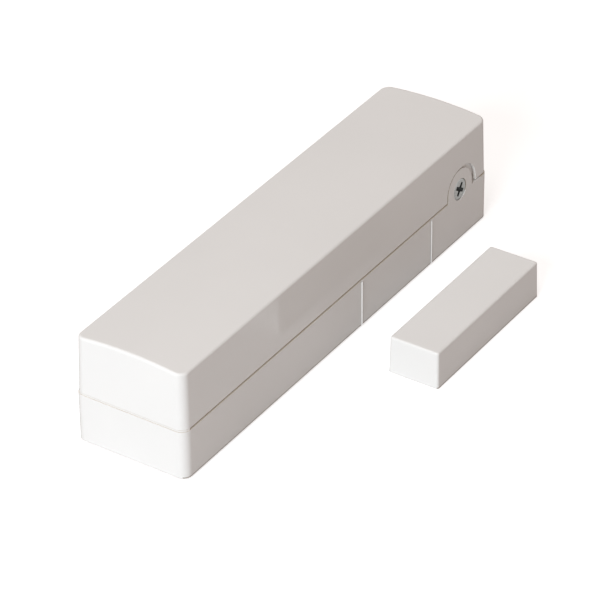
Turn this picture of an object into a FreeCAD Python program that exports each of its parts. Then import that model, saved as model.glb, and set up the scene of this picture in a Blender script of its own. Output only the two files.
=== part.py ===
import FreeCAD, Part
import math
import os
from types import SimpleNamespace

import Sketcher
from FreeCAD import Placement, Rotation, Vector

# A radio door and window sensor in two halves: a long two-piece housing that holds the
# circuit board, the cell and the reed switch, and a small magnet block that stands beside it.
# X runs along the housing from the hooked end to the screwed end, Z points up from the back
# face that lies on the door frame, and the magnet block stands on the -Y side.
# The origin is the middle of the housing's back face. All sizes are in millimetres.

DOC = FreeCAD.newDocument("door_window_sensor")
SHEET = DOC.addObject("Spreadsheet::Sheet", "Sizes")

# Each row is an alias, its value and what it measures.
SIZE_ROWS = [
    ("length", 128.0, "housing, end to end"),
    ("width", 29.6, "housing, side to side"),
    ("height", 28.4, "housing, back face to the top of the crown"),
    ("crown", 1.0, "rise of the roof from its long edges to its middle"),
    ("corner", 2.3, "radius of the upright corners"),
    ("top_round", 0.6, "rounding round the roof"),
    ("foot_round", 0.3, "rounding round the back face"),
    ("seam", 12.8, "middle of the gap between base and cover"),
    ("seam_gap", 0.4, "shadow gap between base and cover"),
    ("wall", 2.0, "side and end walls"),
    ("floor_thick", 2.0, "floor of the base"),
    ("roof", 2.0, "roof of the cover"),
    ("cover_inset", 0.15, "step from the base's face back to the cover's foot"),
    ("draft", 1.25, "lean of the cover's walls in degrees"),
    ("lip_height", 1.6, "lip of the base that stands inside the cover"),
    ("lip_setback", 1.1, "step from the base's face to the lip"),
    ("shelf_drop", 3.6, "depth of the shelf that carries the lip at the far end"),
    ("lip_play", 0.12, "clearance round the lip"),
    ("tongue_inset", 13.0, "middle of the screw tongue, from the far end"),
    ("tongue_rise", 1.2, "height of the screw above the seam"),
    ("tongue_radius", 5.4, "rounded head of the tongue"),
    ("tongue_lean", 2.6, "lean of the tongue's face in degrees"),
    ("notch_play", 0.25, "gap between the tongue and the cover's notch"),
    ("slide_room", 1.7, "spare length of the notch, so that the cover can slide off its hooks"),
    ("collar_lap", 0.6, "reach of the collar behind the notch's edge"),
    ("screw_head_radius", 2.65, "cover screw, countersunk head"),
    ("screw_radius", 1.45, "cover screw, shank"),
    ("screw_length", 9.5, "cover screw, head to tip"),
    ("screw_sink", 0.25, "depth of the screw head below the tongue's face"),
    ("head_land", 0.25, "straight edge of the screw head"),
    ("head_cone", 1.2, "cone under the screw head"),
    ("screw_play", 0.15, "clearance round the screw in the tongue"),
    ("thread_play", 0.04, "clearance round the formed thread"),
    ("recess_span", 3.1, "cross recess, tip to tip"),
    ("recess_wing", 0.85, "cross recess, width of a wing"),
    ("recess_depth", 1.4, "cross recess, depth"),
    ("recess_turn", 14.0, "turn of the cross recess in degrees"),
    ("block_radius", 3.6, "screw block of the cover, round the thread"),
    ("block_skin", 0.8, "plastic left beyond the screw's tip"),
    ("block_depth", 8.8, "screw block of the cover, along the screw"),
    ("fit_gap", 0.35, "air between pieces that face each other"),
    ("hook_y", 7.0, "hooks and catches, from the middle line"),
    ("hook_wide", 4.0, "hooks and catches, width"),
    ("hook_thick", 1.4, "hooks and catches, thickness of the upright part"),
    ("hook_reach", 1.5, "toe of a hook and nose of a catch"),
    ("hook_toe", 1.6, "height of the toe and of the nose"),
    ("hook_low", 7.2, "underside of a hook above the back face"),
    ("score_before", 10.3, "break-out panel, first score line before the reed switch's middle"),
    ("score_after", 20.4, "break-out panel, second score line beyond the reed switch's middle"),
    ("score_deep", 0.3, "depth of the V-shaped score lines"),
    ("panel_skin", 1.0, "plastic left in the break-out panel"),
    ("panel_border", 1.6, "full wall kept above and below the thinned panel"),
    ("slot_inset", 26.0, "fixing slots, from the ends of the housing"),
    ("slot_width", 4.5, "fixing slots, width"),
    ("slot_length", 7.5, "fixing slots, end to end"),
    ("slot_seat", 8.6, "seat for the screw head, width"),
    ("slot_seat_deep", 0.8, "seat for the screw head, depth"),
    ("board_thick", 1.6, "circuit board"),
    ("board_near_gap", 7.7, "room for the hooks between the wall and the board"),
    ("board_far_gap", 1.3, "air between the far wall and the board"),
    ("board_side_gap", 0.7, "air between the side walls and the board"),
    ("board_corner", 1.0, "rounded corners of the board"),
    ("access_width", 9.6, "opening in the board over a fixing slot"),
    ("post_height", 1.6, "posts under the board"),
    ("post_radius", 2.2, "posts under the board"),
    ("post_inset", 2.6, "post centres, from the board's long edge"),
    ("post_mid_gap", 2.9, "middle pair of posts, from the cell holder"),
    ("post_end_inset", 2.7, "end pairs of posts, from the board's short edges"),
    ("pin_radius", 0.9, "locating pins on the posts"),
    ("pin_height", 1.4, "locating pins on the posts"),
    ("board_screw_radius", 1.1, "board screws, shank"),
    ("board_screw_head", 2.0, "board screws, head"),
    ("board_screw_rise", 1.2, "board screws, height of the head"),
    ("board_screw_bite", 2.6, "board screws, length below the board"),
    ("tip_room", 0.4, "air under the tips of the board screws"),
    ("cell_radius", 8.5, "lithium cell"),
    ("cell_length", 34.5, "lithium cell with its nub"),
    ("cell_nub", 1.0, "raised pole of the cell"),
    ("cell_nub_radius", 3.2, "raised pole of the cell"),
    ("cell_round", 0.5, "sloped rims of the cell"),
    ("cell_play", 0.1, "air round the cell in its holder"),
    ("holder_floor", 1.0, "floor of the cell holder"),
    ("holder_wall", 1.3, "walls of the cell holder"),
    ("holder_rise", 9.2, "height of the cell holder's sides"),
    ("holder_start", 1.1, "holder, from the near end of the board"),
    ("holder_window", 14.0, "window in the holder's floor"),
    ("contact_thick", 0.4, "sheet of the cell contacts"),
    ("contact_wide", 8.0, "width of the cell contacts"),
    ("contact_rise", 12.6, "height of the cell contacts above the board"),
    ("spring_reach", 1.4, "bow of the sprung contact"),
    ("spring_touch", 1.6, "flat of the sprung contact against the cell"),
    ("tail_wide", 2.0, "solder tails of the contacts"),
    ("tail_drop", 0.8, "solder tails below the board"),
    ("tail_play", 0.15, "clearance of tails and leads in the board"),
    ("solder_rise", 0.6, "solder cones round the leads"),
    ("solder_spread", 0.5, "solder cones, reach beyond the lead"),
    ("reed_radius", 1.1, "reed switch, glass tube"),
    ("reed_length", 14.0, "reed switch, glass tube"),
    ("reed_glass", 0.3, "reed switch, thickness of the glass"),
    ("reed_rise", 2.0, "reed switch, axis above the board"),
    ("reed_edge", 1.9, "reed switch, axis from the board's long edge"),
    ("lead_radius", 0.3, "reed switch leads"),
    ("lead_reach", 2.4, "reed switch leads, from the glass to the bend"),
    ("blade_wide", 1.2, "reed blades, width"),
    ("blade_thick", 0.25, "reed blades, thickness"),
    ("blade_lap", 1.2, "overlap of the two blades"),
    ("blade_gap", 0.16, "air between the two blades"),
    ("chip_side", 7.0, "controller chip"),
    ("chip_rise", 1.4, "controller chip"),
    ("chip_foot_gap", 0.5, "air between the chip's leads and the small capacitors"),
    ("chip_pitch", 0.8, "controller chip, lead pitch"),
    ("chip_lead_wide", 0.35, "controller chip, width of a lead"),
    ("chip_lead_reach", 1.0, "controller chip, reach of a lead"),
    ("chip_lead_thick", 0.2, "controller chip, sheet of the leads"),
    ("chip_dot_inset", 1.0, "dimple in the controller chip, from its edges"),
    ("crystal_length", 10.2, "crystal can"),
    ("crystal_wide", 3.8, "crystal can"),
    ("crystal_rise", 3.4, "crystal can"),
    ("crystal_y", -8.0, "crystal can, from the middle line"),
    ("crystal_flange", 0.4, "crystal can, rim round its foot"),
    ("shield_length", 16.0, "radio screening can"),
    ("shield_wide", 11.6, "radio screening can"),
    ("shield_rise", 2.8, "radio screening can"),
    ("shield_thick", 0.25, "radio screening can, sheet"),
    ("shield_hole", 0.6, "radio screening can, radius of its vent holes"),
    ("shield_shift", 2.3, "radio screening can, from the reed switch's middle"),
    ("shield_y", 3.8, "radio screening can, middle from the middle line"),
    ("antenna_radius", 0.5, "aerial wire"),
    ("antenna_rise", 14.0, "aerial wire above the board"),
    ("antenna_bend", 3.0, "bend of the aerial wire"),
    ("antenna_run", 66.0, "level run of the aerial wire"),
    ("antenna_edge", 2.7, "aerial wire, from the board's long edge"),
    ("antenna_inset", 6.6, "foot of the aerial, from the far end of the board"),
    ("header_shift", 5.3, "link header, from the reed switch's middle"),
    ("header_y", -5.6, "link header, middle from the middle line"),
    ("header_pitch", 2.54, "link header, pin pitch"),
    ("header_pin", 0.64, "link header, square pins"),
    ("header_block", 2.5, "link header, plastic body"),
    ("header_pin_rise", 8.4, "link header, pins above the board"),
    ("link_rise", 6.0, "pull-off link, height"),
    ("link_play", 0.05, "clearance of the pins in the link"),
    ("link_round", 0.3, "rounded edges of the link"),
    ("terminal_gap", 2.0, "cable terminal, from the reed's lead"),
    ("terminal_pitch", 5.08, "cable terminal, pole pitch"),
    ("terminal_deep", 7.2, "cable terminal, front to back"),
    ("terminal_rise", 9.4, "cable terminal, height"),
    ("terminal_step", 1.6, "cable terminal, chamfered top edge"),
    ("terminal_mouth", 3.2, "cable terminal, wire mouths"),
    ("terminal_screw", 1.7, "cable terminal, screw radius"),
    ("terminal_screw_deep", 4.0, "cable terminal, screw length"),
    ("terminal_cage", 0.4, "cable terminal, sheet of the clamp cages"),
    ("led_shift", 11.1, "indicator lamp, beyond the reed switch's middle"),
    ("led_y", 7.0, "indicator lamp, from the middle line"),
    ("led_radius", 1.5, "indicator lamp, dome"),
    ("led_rise", 5.2, "indicator lamp, height"),
    ("led_flange", 1.9, "indicator lamp, foot radius"),
    ("led_flange_rise", 1.0, "indicator lamp, foot height"),
    ("cap_radius", 3.15, "storage capacitor"),
    ("cap_rise", 7.2, "storage capacitor"),
    ("cap_base", 1.0, "storage capacitor, square plastic foot"),
    ("cap_step", 0.4, "storage capacitor, depth of its rolled waist"),
    ("cap_inset", 11.9, "storage capacitor, from the far end of the board"),
    ("cap_y", 6.6, "storage capacitor, from the middle line"),
    ("smd_length", 2.0, "small ceramic capacitors"),
    ("smd_wide", 1.25, "small ceramic capacitors"),
    ("smd_rise", 0.9, "small ceramic capacitors"),
    ("smd_pitch", 2.6, "small ceramic capacitors, spacing"),
    ("tamper_inset", 7.1, "where the cover presses the tamper spring, from the far end of the board"),
    ("tamper_rise", 6.4, "top of the tamper spring above the board"),
    ("tamper_wide", 3.0, "tamper spring, width"),
    ("tamper_thick", 0.3, "tamper spring, sheet"),
    ("tamper_run", 7.4, "tamper spring, from its foot to its tip"),
    ("tamper_foot", 3.0, "tamper spring, soldered foot"),
    ("press_radius", 2.0, "post of the cover over the tamper spring"),
    ("rib_thick", 1.4, "ribs of the cover over the cell"),
    ("rib_half", 6.0, "ribs of the cover over the cell, half width"),
    ("magnet_length", 45.0, "magnet block"),
    ("magnet_width", 13.2, "magnet block"),
    ("magnet_height", 9.6, "magnet block"),
    ("magnet_x", 17.5, "magnet block and reed switch, middle along the housing"),
    ("magnet_away", 15.0, "magnet block, from the housing's side"),
    ("magnet_wall", 1.4, "magnet block, walls and roof"),
    ("magnet_draft", 1.1, "magnet block, lean of the walls in degrees"),
    ("magnet_corner", 0.65, "magnet block, upright corners"),
    ("magnet_round", 0.5, "magnet block, rounding round the top"),
    ("plate_thick", 1.6, "back plate of the magnet block"),
    ("plate_spacing", 33.0, "screw holes of the back plate, centre to centre"),
    ("plate_hole", 1.6, "screw holes of the back plate, radius"),
    ("plate_sink", 3.0, "countersinks of the back plate, radius"),
    ("bar_length", 24.0, "bar magnet"),
    ("bar_width", 9.6, "bar magnet"),
    ("bar_height", 6.0, "bar magnet"),
    ("bar_round", 0.4, "broken edges of the bar magnet"),
    ("bar_rib", 1.0, "ribs that hold the bar magnet"),
    ("bar_play", 0.1, "clearance between the bar magnet and its ribs"),
]


class Size:
    """A length that carries its value and the sheet formula that it comes from."""

    def __init__(self, value, text):
        self.value = value
        self.text = text

    def join(self, sign, other, turned=False):
        left, right = (as_size(other), self) if turned else (self, as_size(other))
        results = {
            "+": left.value + right.value,
            "-": left.value - right.value,
            "*": left.value * right.value,
        }
        value = left.value / right.value if sign == "/" else results[sign]
        return Size(value, f"({left.text} {sign} {right.text})")

    def __add__(self, other):
        return self.join("+", other)

    def __radd__(self, other):
        return self.join("+", other, True)

    def __sub__(self, other):
        return self.join("-", other)

    def __rsub__(self, other):
        return self.join("-", other, True)

    def __mul__(self, other):
        return self.join("*", other)

    def __rmul__(self, other):
        return self.join("*", other, True)

    def __truediv__(self, other):
        return self.join("/", other)

    def __neg__(self):
        return Size(-self.value, f"(-{self.text})")


def as_size(thing):
    return thing if isinstance(thing, Size) else Size(float(thing), f"{float(thing)}")


def tan(angle):
    return Size(math.tan(math.radians(angle.value)), f"tan({angle.text} * 1 deg)")


def write_sheet():
    """Fills the sheet and gives every alias back as a size."""
    for row, (alias, value, meaning) in enumerate(SIZE_ROWS, 1):
        SHEET.set(f"A{row}", alias)
        SHEET.set(f"B{row}", str(value))
        SHEET.set(f"C{row}", meaning)
        SHEET.setAlias(f"B{row}", alias)
    DOC.recompute()
    return SimpleNamespace(**{alias: Size(value, f"Sizes.{alias}") for alias, value, _ in SIZE_ROWS})


mm = write_sheet()

# How far merged solids reach into each other, how far a cutting tool reaches past what it cuts,
# and how closely an edge is told from its neighbours
OVERLAP = as_size(0.1)
BEYOND = as_size(1.0)
CLOSE = 0.01

# Places that several pieces share
HALF_LENGTH = mm.length / 2
HALF_WIDTH = mm.width / 2
INNER_X = HALF_LENGTH - mm.wall
INNER_Y = HALF_WIDTH - mm.wall
RIM = mm.seam - mm.seam_gap / 2
COVER_FOOT = mm.seam + mm.seam_gap / 2
LIP_TOP = RIM + mm.lip_height
TONGUE_X = HALF_LENGTH - mm.tongue_inset
SLOT_X = HALF_LENGTH - mm.slot_inset
SCREW_Z = mm.seam + mm.tongue_rise
SCREW_HEAD_Y = mm.screw_sink - HALF_WIDTH
COLLAR_X = TONGUE_X + mm.slide_room / 2
COLLAR_RADIUS = mm.tongue_radius + mm.notch_play + mm.slide_room / 2 + mm.collar_lap
TONGUE_BACK = -INNER_Y
CROWN_RADIUS = (HALF_WIDTH * HALF_WIDTH + mm.crown * mm.crown) / (mm.crown * 2)
CROWN_CENTRE = mm.height - CROWN_RADIUS
CEILING = mm.height - mm.roof
LIP_FAR_X = INNER_X - mm.fit_gap - mm.slide_room
BOARD_FOOT = mm.floor_thick + mm.post_height
BOARD_TOP = BOARD_FOOT + mm.board_thick
BOARD_X0 = mm.board_near_gap - INNER_X
BOARD_X1 = INNER_X - mm.board_far_gap
BOARD_Y = INNER_Y - mm.board_side_gap
POST_Y = BOARD_Y - mm.post_inset
POST_NEAR_X = BOARD_X0 + mm.post_end_inset
POST_FAR_X = BOARD_X1 - mm.post_end_inset
HOLDER_X0 = BOARD_X0 + mm.holder_start
HOLDER_INNER_X0 = HOLDER_X0 + mm.holder_wall
CELL_X0 = HOLDER_INNER_X0 + mm.contact_thick + mm.spring_reach
CELL_X1 = CELL_X0 + mm.cell_length
HOLDER_INNER_X1 = CELL_X1 + mm.contact_thick
HOLDER_X1 = HOLDER_INNER_X1 + mm.holder_wall
HOLDER_TOP = BOARD_TOP + mm.holder_rise
POST_MID_X = HOLDER_X1 + mm.post_mid_gap
HOLDER_INNER_Y = mm.cell_radius + mm.cell_play
CELL_Z = BOARD_TOP + mm.holder_floor + mm.cell_radius
REED_Y = mm.reed_edge - BOARD_Y
REED_Z = BOARD_TOP + mm.reed_rise
LEAD_X0 = mm.magnet_x - mm.reed_length / 2 - mm.lead_reach
LEAD_X1 = mm.magnet_x + mm.reed_length / 2 + mm.lead_reach
CHIP_X = (HOLDER_X1 + LEAD_X0) / 2
SHIELD_X = mm.magnet_x - mm.shield_shift
HEADER_X = mm.magnet_x - mm.header_shift
LED_X = mm.magnet_x + mm.led_shift
CAP_X = BOARD_X1 - mm.cap_inset
SCORE_LEFT = mm.magnet_x - mm.score_before
SCORE_RIGHT = mm.magnet_x + mm.score_after
TERMINAL_X0 = LEAD_X1 + mm.terminal_gap
TERMINAL_X1 = TERMINAL_X0 + mm.terminal_pitch * 2
TERMINAL_Y0 = -BOARD_Y
TERMINAL_TOP = BOARD_TOP + mm.terminal_rise
POLES = (TERMINAL_X0 + mm.terminal_pitch / 2, TERMINAL_X0 + mm.terminal_pitch * 1.5)
ANTENNA_X = BOARD_X1 - mm.antenna_inset
ANTENNA_Y = BOARD_Y - mm.antenna_edge
TAMPER_X = BOARD_X1 - mm.tamper_inset
TAMPER_TOP = BOARD_TOP + mm.tamper_rise
TAMPER_FOOT_X = TAMPER_X - mm.tamper_run
MAGNET_Y = -(HALF_WIDTH + mm.magnet_away + mm.magnet_width / 2)
PLATE_LEAN = mm.plate_thick * tan(mm.magnet_draft)
PLATE_X = mm.magnet_length / 2 - mm.magnet_wall - PLATE_LEAN
PLATE_Y = mm.magnet_width / 2 - mm.magnet_wall - PLATE_LEAN
SIDES = (-1, 1)

ALONG = {
    "x": Rotation(Vector(0, 1, 0), 90),
    "y": Rotation(Vector(1, 0, 0), -90),
    "z": Rotation(),
}
PLANES = {"xy": "XY_Plane", "xz": "XZ_Plane", "yz": "YZ_Plane"}
PIECES = []


# Parametric building blocks


def bind(thing, **sizes):
    """Binds properties to the sheet; a double underscore stands for a dot."""
    for name, size in sizes.items():
        thing.setExpression(name.replace("__", "."), as_size(size).text)


def place(thing, x=0, y=0, z=0, turn=None):
    thing.Placement = Placement(Vector(), turn or Rotation())
    bind(thing, Placement__Base__x=x, Placement__Base__y=y, Placement__Base__z=z)
    return thing


def box(name, x, y, z):
    """A block between two places on each axis."""
    block = DOC.addObject("Part::Box", name)
    bind(block, Length=x[1] - as_size(x[0]), Width=y[1] - as_size(y[0]), Height=z[1] - as_size(z[0]))
    return place(block, x[0], y[0], z[0])


def cylinder(name, axis, start, radius, length):
    """A cylinder that runs from start along an axis."""
    rod = DOC.addObject("Part::Cylinder", name)
    bind(rod, Radius=radius, Height=length)
    return place(rod, *start, ALONG[axis])


def cone(name, axis, start, first, last, length):
    """A cone with its first radius at start."""
    body = DOC.addObject("Part::Cone", name)
    bind(body, Radius1=first, Radius2=last, Height=length)
    return place(body, *start, ALONG[axis])


def fuse(name, *parts):
    joined = DOC.addObject("Part::MultiFuse", name)
    joined.Shapes = parts
    joined.Refine = True
    return joined


def cut(name, base, *tools):
    result = DOC.addObject("Part::Cut", name)
    result.Base = base
    result.Tool = tools[0] if len(tools) == 1 else fuse(name + "_tools", *tools)
    result.Refine = True
    return result


def common(name, first, second):
    shared = DOC.addObject("Part::Common", name)
    shared.Base = first
    shared.Tool = second
    return shared


def group(name, *solids):
    """Separate solids of one kind that share a node."""
    together = DOC.addObject("Part::Compound", name)
    together.Links = solids
    return together


def rounded(name, base, radius, wanted):
    """Rounds the edges that wanted picks."""
    DOC.recompute()
    edges = [number for number, edge in enumerate(base.Shape.Edges, 1) if wanted(edge)]
    result = DOC.addObject("Part::Fillet", name)
    result.Base = base
    result.Edges = [(number, radius.value, radius.value) for number in edges]
    return result


def upright(edge):
    box_of = edge.BoundBox
    return box_of.ZLength > max(box_of.XLength, box_of.YLength) * 3


def above(height):
    """Picks the edges that lie wholly above a height."""
    return lambda edge: edge.BoundBox.ZMin > height.value


def leaning_block(name, half_x, half_y, low, rise, lean):
    """A block whose four walls lean in as they rise."""
    block = DOC.addObject("Part::Wedge", name)
    shrink = rise * tan(lean)
    bind(block, Xmin=-half_x, Xmax=half_x, Zmin=-half_y, Zmax=half_y, Ymin=0, Ymax=rise)
    bind(block, X2min=shrink - half_x, X2max=half_x - shrink, Z2min=shrink - half_y, Z2max=half_y - shrink)
    return place(block, 0, 0, low, Rotation(Vector(1, 0, 0), 90))


def new_body(name):
    return DOC.addObject("PartDesign::Body", name)


def sketch(body, name, plane, offset=0):
    """A sketch on one of the body's own origin planes, moved along the plane's normal."""
    drawing = body.newObject("Sketcher::SketchObject", name)
    support = next(item for item in body.Origin.OriginFeatures if item.Role == PLANES[plane])
    drawing.AttachmentSupport = [(support, "")]
    drawing.MapMode = "FlatFace"
    bind(drawing, AttachmentOffset__Base__z=offset)
    return drawing


def pin_point(drawing, tag, geometry, point, x, y):
    """Ties a point of the sketch to two sizes, measured from the origin."""
    for kind, size in (("DistanceX", as_size(x)), ("DistanceY", as_size(y))):
        name = f"{tag}_{kind[-1].lower()}"
        number = drawing.addConstraint(Sketcher.Constraint(kind, -1, 1, geometry, point, size.value))
        drawing.renameConstraint(number, name)
        drawing.setExpression(f"Constraints.{name}", size.text)


def polygon(drawing, tag, points):
    """A closed outline of straight lines through the points."""
    corners = [Vector(as_size(x).value, as_size(y).value, 0) for x, y in points]
    first = drawing.GeometryCount
    count = len(points)
    for number in range(count):
        drawing.addGeometry(Part.LineSegment(corners[number], corners[(number + 1) % count]), False)
    for number in range(count):
        ahead = first + (number + 1) % count
        drawing.addConstraint(Sketcher.Constraint("Coincident", first + number, 2, ahead, 1))
    for number, (x, y) in enumerate(points):
        pin_point(drawing, f"{tag}{number}", first + number, 1, x, y)


def rectangle(drawing, tag, x, y):
    polygon(drawing, tag, [(x[0], y[0]), (x[1], y[0]), (x[1], y[1]), (x[0], y[1])])


def circle(drawing, tag, x, y, radius):
    centre = Vector(as_size(x).value, as_size(y).value, 0)
    number = drawing.addGeometry(Part.Circle(centre, Vector(0, 0, 1), as_size(radius).value), False)
    pin_point(drawing, tag, number, 3, x, y)
    size = drawing.addConstraint(Sketcher.Constraint("Radius", number, as_size(radius).value))
    drawing.renameConstraint(size, f"{tag}_radius")
    drawing.setExpression(f"Constraints.{tag}_radius", as_size(radius).text)


def feature(body, kind, drawing, length, backwards=False):
    """A pad or a pocket; backwards turns it round to the other side of its sketch."""
    result = body.newObject("PartDesign::" + kind, f"{drawing.Name}_{kind.lower()}")
    result.Profile = drawing
    result.Reversed = backwards
    result.Refine = True
    bind(result, Length=length)
    drawing.Visibility = False
    DOC.recompute()
    return result


def body_rounding(body, base, name, radius, wanted):
    """A bound fillet on the edges of the body's last feature that wanted picks."""
    edges = [f"Edge{number}" for number, edge in enumerate(base.Shape.Edges, 1) if wanted(edge)]
    result = body.newObject("PartDesign::Fillet", name)
    result.Base = (base, edges)
    bind(result, Radius=radius)
    DOC.recompute()
    return result


def hollow(body, kind, name, axis, start, length, first, last=None):
    """A cylinder or cone taken out of a body or added to it."""
    result = body.newObject("PartDesign::" + kind, name)
    if last is None:
        bind(result, Radius=first, Height=length)
    else:
        bind(result, Radius1=first, Radius2=last, Height=length)
    place(result, *start, ALONG[axis])
    DOC.recompute()
    return result


def rounded_path(points, bend):
    """Straight runs through the points, joined by tangent arcs."""
    corners = [Vector(*(as_size(value).value for value in point)) for point in points]
    edges = []
    start = corners[0]
    for before, corner, after in zip(corners, corners[1:], corners[2:]):
        back = (before - corner).normalize()
        ahead = (after - corner).normalize()
        half = back.getAngle(ahead) / 2
        reach = bend / math.tan(half)
        middle = corner + (back + ahead).normalize() * (bend / math.sin(half) - bend)
        edges.append(Part.LineSegment(start, corner + back * reach).toShape())
        edges.append(Part.Arc(corner + back * reach, middle, corner + ahead * reach).toShape())
        start = corner + ahead * reach
    edges.append(Part.LineSegment(start, corners[-1]).toShape())
    return Part.Wire(edges)


def swept(name, path, section):
    """A section carried along a path, as a wire or a strip is bent."""
    bent = DOC.addObject("Part::Feature", name)
    bent.Shape = path.makePipeShell([section], True, False)
    return bent


def bent_wire(name, points, radius, bend):
    path = rounded_path(points, bend.value)
    start, ahead = path.Edges[0].valueAt(path.Edges[0].FirstParameter), path.Edges[0].tangentAt(0)
    return swept(name, path, Part.Wire(Part.Circle(start, ahead, radius.value).toShape()))


def bent_strip(name, points, thick, wide, bend):
    """A strip bent in the XZ plane; the path is the middle of its thickness."""
    path = rounded_path(points, bend)
    start, ahead = path.Edges[0].valueAt(path.Edges[0].FirstParameter), path.Edges[0].tangentAt(0)
    across = Vector(0, 1, 0) * (wide.value / 2)
    through = ahead.cross(Vector(0, 1, 0)) * (thick.value / 2)
    corners = [start + across + through, start - across + through, start - across - through]
    corners += [start + across - through, corners[0]]
    return swept(name, path, Part.makePolygon(corners))


def piece(node, thing):
    """Names a finished piece after its node."""
    thing.Label = node
    PIECES.append((node, thing))
    return thing


# The housing


def base():
    """The tray: walls, lip, screw tongue, posts for the board, catches and fixing slots."""
    body = new_body("base")
    add_walls(body)
    add_far_lip(body)
    add_collar(body)
    add_tongue(body)
    add_break_out_panel(body)
    add_posts(body)
    add_fixing_slots(body)
    add_catches(body)
    return piece("base", body)


def add_walls(body):
    plan = sketch(body, "base_plan", "xy")
    rectangle(plan, "plan", (-HALF_LENGTH, HALF_LENGTH), (-HALF_WIDTH, HALF_WIDTH))
    block = feature(body, "Pad", plan, RIM)
    block = body_rounding(body, block, "base_corners", mm.corner, upright)
    floor_edge = mm.foot_round.value
    block = body_rounding(
        body, block, "base_foot", mm.foot_round, lambda edge: edge.BoundBox.ZMax < floor_edge
    )
    lip_x = HALF_LENGTH - mm.lip_setback
    lip_y = HALF_WIDTH - mm.lip_setback
    lip = sketch(body, "lip_plan", "xy", RIM)
    rectangle(lip, "lip", (-lip_x, LIP_FAR_X), (-lip_y, lip_y))
    block = feature(body, "Pad", lip, mm.lip_height)
    low = RIM.value - CLOSE
    block = body_rounding(
        body,
        block,
        "lip_corners",
        mm.corner - mm.lip_setback,
        lambda edge: upright(edge) and edge.BoundBox.ZMin > low,
    )
    room = sketch(body, "room_plan", "xy", LIP_TOP)
    rectangle(room, "room", (-INNER_X, INNER_X), (-INNER_Y, INNER_Y))
    block = feature(body, "Pocket", room, LIP_TOP - mm.floor_thick)
    half_room = INNER_X.value + CLOSE
    tall = LIP_TOP.value / 2

    def room_edge(edge):
        return upright(edge) and edge.Length > tall and abs(edge.CenterOfMass.x) < half_room

    body_rounding(body, block, "room_corners", mm.corner - mm.wall, room_edge)


def add_far_lip(body):
    """The lip at the far end stands inwards on a shelf, so that the cover's wall can slide past it."""
    back = LIP_FAR_X + mm.lip_setback - mm.wall
    outline = sketch(body, "far_lip", "xz", -INNER_Y)
    polygon(
        outline,
        "lip",
        [
            (INNER_X + OVERLAP, RIM - mm.shelf_drop),
            (INNER_X + OVERLAP, RIM),
            (LIP_FAR_X, RIM),
            (LIP_FAR_X, LIP_TOP),
            (back, LIP_TOP),
            (back, RIM - mm.lip_setback),
        ],
    )
    feature(body, "Pad", outline, INNER_Y * 2)


def add_collar(body):
    """A thin arch behind the cover's wall, in line with the lip, that closes the gap of the notch."""
    front = HALF_WIDTH - mm.lip_setback
    thick = mm.wall - mm.lip_setback
    foot = sketch(body, "collar_foot", "xz", front)
    sides = (COLLAR_X - COLLAR_RADIUS, COLLAR_X + COLLAR_RADIUS)
    rectangle(foot, "foot", sides, (RIM - mm.wall, SCREW_Z))
    feature(body, "Pad", foot, thick, backwards=True)
    head = sketch(body, "collar_head", "xz", front)
    circle(head, "head", COLLAR_X, SCREW_Z, COLLAR_RADIUS)
    feature(body, "Pad", head, thick, backwards=True)


def add_tongue(body):
    """The arch that stands up into the cover's notch and takes the screw."""
    thick = HALF_WIDTH + TONGUE_BACK
    foot = sketch(body, "tongue_foot", "xz", HALF_WIDTH)
    sides = (TONGUE_X - mm.tongue_radius, TONGUE_X + mm.tongue_radius)
    rectangle(foot, "foot", sides, (RIM - mm.wall, SCREW_Z))
    feature(body, "Pad", foot, thick, backwards=True)
    head = sketch(body, "tongue_head", "xz", HALF_WIDTH)
    circle(head, "head", TONGUE_X, SCREW_Z, mm.tongue_radius)
    feature(body, "Pad", head, thick, backwards=True)
    lean_rise = SCREW_Z + mm.tongue_radius + BEYOND - RIM
    lean = sketch(body, "tongue_face", "yz", TONGUE_X - mm.tongue_radius - mm.notch_play)
    outside = -HALF_WIDTH
    polygon(
        lean,
        "face",
        [
            (outside, RIM),
            (outside + lean_rise * tan(mm.tongue_lean), RIM + lean_rise),
            (outside - BEYOND, RIM + lean_rise),
            (outside - BEYOND, RIM),
        ],
    )
    feature(body, "Pocket", lean, mm.tongue_radius * 2 + mm.notch_play * 2, backwards=True)
    start = (TONGUE_X, -HALF_WIDTH - BEYOND, SCREW_Z)
    seat = (TONGUE_X, SCREW_HEAD_Y + mm.head_land, SCREW_Z)
    depth = mm.screw_sink + mm.head_land + BEYOND
    head = mm.screw_head_radius
    bore = mm.screw_radius + mm.screw_play
    hollow(body, "SubtractiveCylinder", "head_room", "y", start, depth, head + mm.screw_play)
    hollow(body, "SubtractiveCone", "head_seat", "y", seat, mm.head_cone, head, mm.screw_radius)
    hollow(body, "SubtractiveCylinder", "tongue_bore", "y", start, mm.wall * 2, bore)


def add_break_out_panel(body):
    """Two score lines outside and a thinned wall inside, for a cable to be led in."""
    scores = sketch(body, "score_lines", "xy")
    deep = mm.score_deep
    for tag, x in (("left", SCORE_LEFT), ("right", SCORE_RIGHT)):
        polygon(scores, tag, [(x - deep, -HALF_WIDTH), (x, deep - HALF_WIDTH), (x + deep, -HALF_WIDTH)])
    feature(body, "Pocket", scores, RIM, backwards=True)
    thin = sketch(body, "panel_back", "xz", INNER_Y)
    low = mm.floor_thick + mm.panel_border
    rectangle(thin, "thin", (SCORE_LEFT + mm.wall, SCORE_RIGHT - mm.wall), (low, RIM - mm.panel_border))
    feature(body, "Pocket", thin, mm.wall - mm.panel_skin, backwards=True)


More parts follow.
